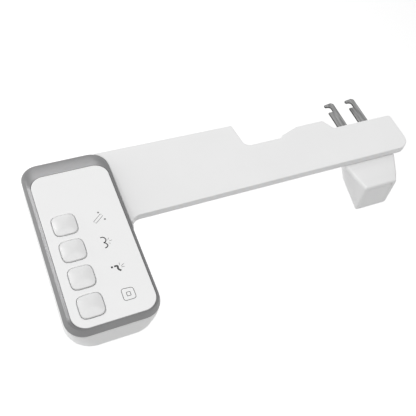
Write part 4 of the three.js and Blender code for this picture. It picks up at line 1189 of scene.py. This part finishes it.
class BIDET_OT_spray_rods(BidetBuilder, bpy.types.Operator):
    """Builds the two spray rods with their rounded tips and spray holes"""

    bl_idname = "bidet.spray_rods"
    bl_label = "Spray Rods"

    def build(self, scene):
        size = scene.bidet_nozzle
        spread = 0.0016
        forward = 0.0026
        lean = Matrix.Rotation(math.radians(50), 4, "X")
        for side, name in ((-1, "spray_rod_rear"), (1, "spray_rod_front")):
            aside = Matrix.Translation((side * size.rod_pitch / 2, 0, 0))
            place = rod_frame() @ aside @ Matrix.Rotation(-math.pi / 2, 4, "X")
            rod = piece(name + "_turned", *turned(self.profile(size), 40), shell_finish())
            holes = []
            for across in (-spread, 0.0, spread):
                hole = turned([(size.spray_hole, 0.0), (size.spray_hole, 0.004)], 12)
                bore = piece("hole", *hole, shell_finish())
                bore.data.transform(Matrix.Translation((across, -forward, size.tip_recess + 0.0001)) @ lean)
                holes.append(bore)
            carved(rod, holes)
            rod.data.transform(place)
            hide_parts(name)
            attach(rod, name)

    def profile(self, size):
        """Side of a rod from its tip to its root, as (radius, distance)."""
        low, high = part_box("spray_rod_rear")
        reach = (high[1] - low[1]) / math.cos(size.slope) - 0.001
        tip = size.tip_recess
        return [
            (0.0012, tip),
            (size.tip_radius - 0.0018, tip + 0.0001),
            (size.tip_radius - 0.0008, tip + 0.0005),
            (size.tip_radius - 0.0002, tip + 0.0012),
            (size.tip_radius, tip + 0.002),
            (size.tip_radius, tip + 0.003),
            (size.rod_radius, tip + 0.003),
            (size.rod_radius, tip + reach - 0.006),
        ]


class BIDET_OT_screws(BidetBuilder, bpy.types.Operator):
    """Builds the cross-recess screws of the underside"""

    bl_idname = "bidet.screws"
    bl_label = "Screws"

    def build(self, scene):
        names = [entry["node"] for entry in frame["record"]["subparts"]]
        for name in names:
            if name.startswith(("pod_screw", "base_screw", "hook_screw")):
                self.screw(name)

    def screw(self, name):
        low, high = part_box(name)
        radius = (high[0] - low[0]) / 2
        head = 0.001
        core = 0.0013
        cross = self.cross(radius * 0.42, radius * 0.12)
        shape = plate(circle(radius, 32), 0.0, head, 0.0002, [list(reversed(cross))], 0.0004)
        cap = piece(name + "_head", *shape, steel_finish())
        tip = high[2] - low[2]
        profile = [(core, head - 0.0003), (core, tip - 0.0004), (core - 0.0004, tip)]
        shank = piece(name + "_shank", *turned(profile, 16), steel_finish())
        made = joined(name + "_fine", [cap, shank])
        made.data.transform(Matrix.Translation(((low[0] + high[0]) / 2, (low[1] + high[1]) / 2, low[2])))
        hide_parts(name)
        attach(made, ROOT)

    def cross(self, reach, half):
        """Outline of the cross recess."""
        arm = [(reach, -half), (reach, half), (half, half)]
        points = []
        for quarter in range(4):
            turn = Matrix.Rotation(quarter * math.pi / 2, 2)
            points += [turn @ Vector(point) for point in arm]
        return points


class BIDET_OT_inlet(BidetBuilder, bpy.types.Operator):
    """Builds the threaded water inlet and its hexagonal nut"""

    bl_idname = "bidet.inlet"
    bl_label = "Water Inlet"

    def build(self, scene):
        low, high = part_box("water_inlet")
        place = Matrix.Translation(((low[0] + high[0]) / 2, (low[1] + high[1]) / 2, 0))
        wide = (high[0] - low[0]) / 2
        core, bore, pitch, deep = 0.0104, 0.007, 0.0018, 0.0009
        flange = high[2] - 0.002
        thread = self.thread(core, bore, pitch, deep, wide, low[2], flange, high[2])
        inlet = piece("water_inlet_threaded", *thread, brass_finish(), place=place)
        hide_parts("water_inlet")
        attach(inlet, ROOT)
        self.nut(place)

    def thread(self, core, bore, pitch, deep, wide, low, flange, high, count=48):
        """A bored spindle with a thread that fades out at both ends, under a flange."""
        rings = [(bore, None, low), (core - 0.001, None, low)]
        steps = int((flange - low - 0.001) / pitch * 8)
        rings += [(core, k / steps, low + 0.001 + (flange - low - 0.001) * k / steps) for k in range(steps + 1)]
        rings += [(wide, None, flange), (wide, None, high), (bore, None, high)]
        loops = []
        for radius, along, z in rings:
            loop = []
            for i in range(count):
                reach = radius
                if along is not None:
                    phase = ((z - low) / pitch - i / count) % 1.0
                    fade = min(1.0, along * 12, (1 - along) * 12)
                    reach -= deep * fade * abs(2 * phase - 1)
                angle = 2 * math.pi * i / count
                loop.append(Vector((reach * math.cos(angle), reach * math.sin(angle), z)))
            loops.append(loop)
        return loft(loops, closed=True)

    def nut(self, place):
        low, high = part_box("inlet_nut")
        reach = (high[0] - low[0]) / 2 + 0.0002
        angles = [k * math.pi / 3 for k in range(6)]
        outline = rounded([(reach * math.cos(a), reach * math.sin(a), 0.0015) for a in angles], 4)
        clear = 0.0107
        hole = list(reversed(circle(clear, 48)))
        shape = plate(outline, low[2], high[2], 0.0007, [hole])
        nut = piece("inlet_nut_hex", *shape, grey_finish(), place=place)
        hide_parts("inlet_nut")
        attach(nut, ROOT)


class BIDET_OT_finishes(BidetBuilder, bpy.types.Operator):
    """Gives the remaining solids their finishes"""

    bl_idname = "bidet.finishes"
    bl_label = "Finishes"

    def build(self, scene):
        looks = {
            "white_plastic": shell_finish(),
            "panel_white": panel_finish(),
            "button_white": button_finish(),
            "silver_trim": silver_finish(),
            "steel": steel_finish(),
            "brass": brass_finish(),
            "rubber": finish("pad_rubber", (0.16, 0.16, 0.16), 0.8, spread=0.1, grain=0.3),
            "hose_plastic": finish("hose_tube", (0.7, 0.7, 0.7), 0.4, spread=0.04, grain=0.05),
            "circuit_board": finish("board_lacquer", (0.05, 0.12, 0.07), 0.45, spread=0.2, grain=0.2),
            "black_plastic": finish("dark_moulding", (0.03, 0.03, 0.03), 0.5, spread=0.15, grain=0.15),
            "grey_plastic": grey_finish(),
        }
        slots = {entry["node"]: entry["material_slot"] for entry in frame["record"]["subparts"]}
        for name, slot in slots.items():
            obj = bpy.data.objects[name]
            obj.data.materials.clear()
            obj.data.materials.append(looks[slot])


class BIDET_OT_stage(BidetBuilder, bpy.types.Operator):
    """Sets up the floor, the soft light and the camera"""

    bl_idname = "bidet.stage"
    bl_label = "Stage"

    def build(self, scene):
        stage = scene.bidet_stage
        scene.view_settings.view_transform = "Standard"
        self.camera(scene, stage)
        self.floor(scene, stage)
        self.world(scene, stage)
        for name, place, target, size in SOFTBOXES:
            self.softbox(name + "_softbox", place, target, size, getattr(stage, name))

    def camera(self, scene, stage):
        data = bpy.data.cameras.new("studio_camera")
        data.lens = stage.lens
        data.sensor_width = 36.0
        data.clip_start = 0.01
        obj = placed("studio_camera", data)
        obj.location = stage.camera_place
        obj.rotation_euler = Euler(stage.camera_turn, "XYZ")
        scene.camera = obj

    def floor(self, scene, stage):
        mesh = bpy.data.meshes.new("studio_floor")
        reach = 6.0
        z = -stage.floor_drop
        corners = [(-reach, -reach, z), (reach, -reach, z), (reach, reach, z), (-reach, reach, z)]
        mesh.from_pydata(corners, [], [(0, 1, 2, 3)])
        material = bpy.data.materials.new("floor_white")
        tree = bare_tree(material)
        link = tree.links.new
        out = node(tree, "ShaderNodeOutputMaterial")
        diffuse = node(tree, "ShaderNodeBsdfDiffuse", Color=(0.8, 0.8, 0.8, 1))
        glow = node(tree, "ShaderNodeEmission", Color=(1, 1, 1, 1), Strength=stage.floor_glow)
        lit = node(tree, "ShaderNodeAddShader")
        mix = node(tree, "ShaderNodeMixShader")
        link(self.seen(tree), mix.inputs["Fac"])
        link(diffuse.outputs["BSDF"], mix.inputs[1])
        link(diffuse.outputs["BSDF"], lit.inputs[0])
        link(glow.outputs["Emission"], lit.inputs[1])
        link(lit.outputs["Shader"], mix.inputs[2])
        link(mix.outputs["Shader"], out.inputs["Surface"])
        mesh.materials.append(material)
        obj = placed("studio_floor", mesh)

    @staticmethod
    def seen(tree):
        """1 for rays that see or mirror the background."""
        ray = node(tree, "ShaderNodeLightPath")
        most = None
        for kind in ("Is Camera Ray", "Is Glossy Ray", "Is Transmission Ray"):
            if most is None:
                most = ray.outputs[kind]
                continue
            larger = node(tree, "ShaderNodeMath", operation="MAXIMUM")
            tree.links.new(most, larger.inputs[0])
            tree.links.new(ray.outputs[kind], larger.inputs[1])
            most = larger.outputs["Value"]
        return most

    def world(self, scene, stage):
        world = bpy.data.worlds.new("studio_air")
        scene.world = world
        tree = bare_tree(world)
        link = tree.links.new
        out = node(tree, "ShaderNodeOutputWorld")
        way = node(tree, "ShaderNodeTexCoord")
        side = node(tree, "ShaderNodeVectorMath", operation="DOT_PRODUCT")
        side.inputs[1].default_value = Vector(stage.bright_side).normalized()
        dark = stage.ambient * stage.dark_share
        fade = node(tree, "ShaderNodeMapRange", From_Min=-0.4, To_Min=dark, To_Max=stage.ambient)
        air = node(tree, "ShaderNodeBackground", Color=(1, 1, 1, 1))
        white = node(tree, "ShaderNodeBackground", Color=(1, 1, 1, 1), Strength=1.0)
        mix = node(tree, "ShaderNodeMixShader")
        link(way.outputs["Generated"], side.inputs[0])
        link(side.outputs["Value"], fade.inputs["Value"])
        link(fade.outputs["Result"], air.inputs["Strength"])
        link(self.seen(tree), mix.inputs["Fac"])
        link(air.outputs["Background"], mix.inputs[1])
        link(white.outputs["Background"], mix.inputs[2])
        link(mix.outputs["Shader"], out.inputs["Surface"])

    def softbox(self, name, place, target, size, strength):
        data = bpy.data.lights.new(name, "AREA")
        data.shape = "RECTANGLE"
        data.size, data.size_y = size
        data.energy = strength * math.pi * size[0] * size[1]
        obj = placed(name, data)
        obj.location = place
        obj.rotation_euler = (Vector(target) - Vector(place)).to_track_quat("-Z", "Y").to_euler()


OPERATORS = (
    BIDET_OT_finishes,
    BIDET_OT_pod_hull,
    BIDET_OT_bezel,
    BIDET_OT_panel,
    BIDET_OT_buttons,
    BIDET_OT_symbols,
    BIDET_OT_bar,
    BIDET_OT_hooks,
    BIDET_OT_nozzle_housing,
    BIDET_OT_guard_gate,
    BIDET_OT_spray_rods,
    BIDET_OT_screws,
    BIDET_OT_inlet,
    BIDET_OT_stage,
)


class BIDET_PT_sidebar(bpy.types.Panel):
    """Lists the builders in the sidebar"""

    bl_idname = "BIDET_PT_sidebar"
    bl_label = "Bidet Attachment"
    bl_space_type = "VIEW_3D"
    bl_region_type = "UI"
    bl_category = "Bidet"

    def draw(self, context):
        for group in GROUPS:
            box = self.layout.box()
            settings = getattr(context.scene, group)
            for name in settings.__annotations__:
                box.prop(settings, name)
        for operator in OPERATORS:
            self.layout.operator(operator.bl_idname)


def register():
    for name, group in GROUPS.items():
        bpy.utils.register_class(group)
        setattr(bpy.types.Scene, name, PointerProperty(type=group))
    for operator in OPERATORS:
        bpy.utils.register_class(operator)
    bpy.utils.register_class(BIDET_PT_sidebar)


def unregister():
    bpy.utils.unregister_class(BIDET_PT_sidebar)
    for operator in reversed(OPERATORS):
        bpy.utils.unregister_class(operator)
    for name, group in reversed(GROUPS.items()):
        delattr(bpy.types.Scene, name)
        bpy.utils.unregister_class(group)


def main():
    register()
    for operator in OPERATORS:
        group, name = operator.bl_idname.split(".")
        getattr(getattr(bpy.ops, group), name)()
    bpy.context.view_layer.update()


if __name__ == "__main__":
    main()
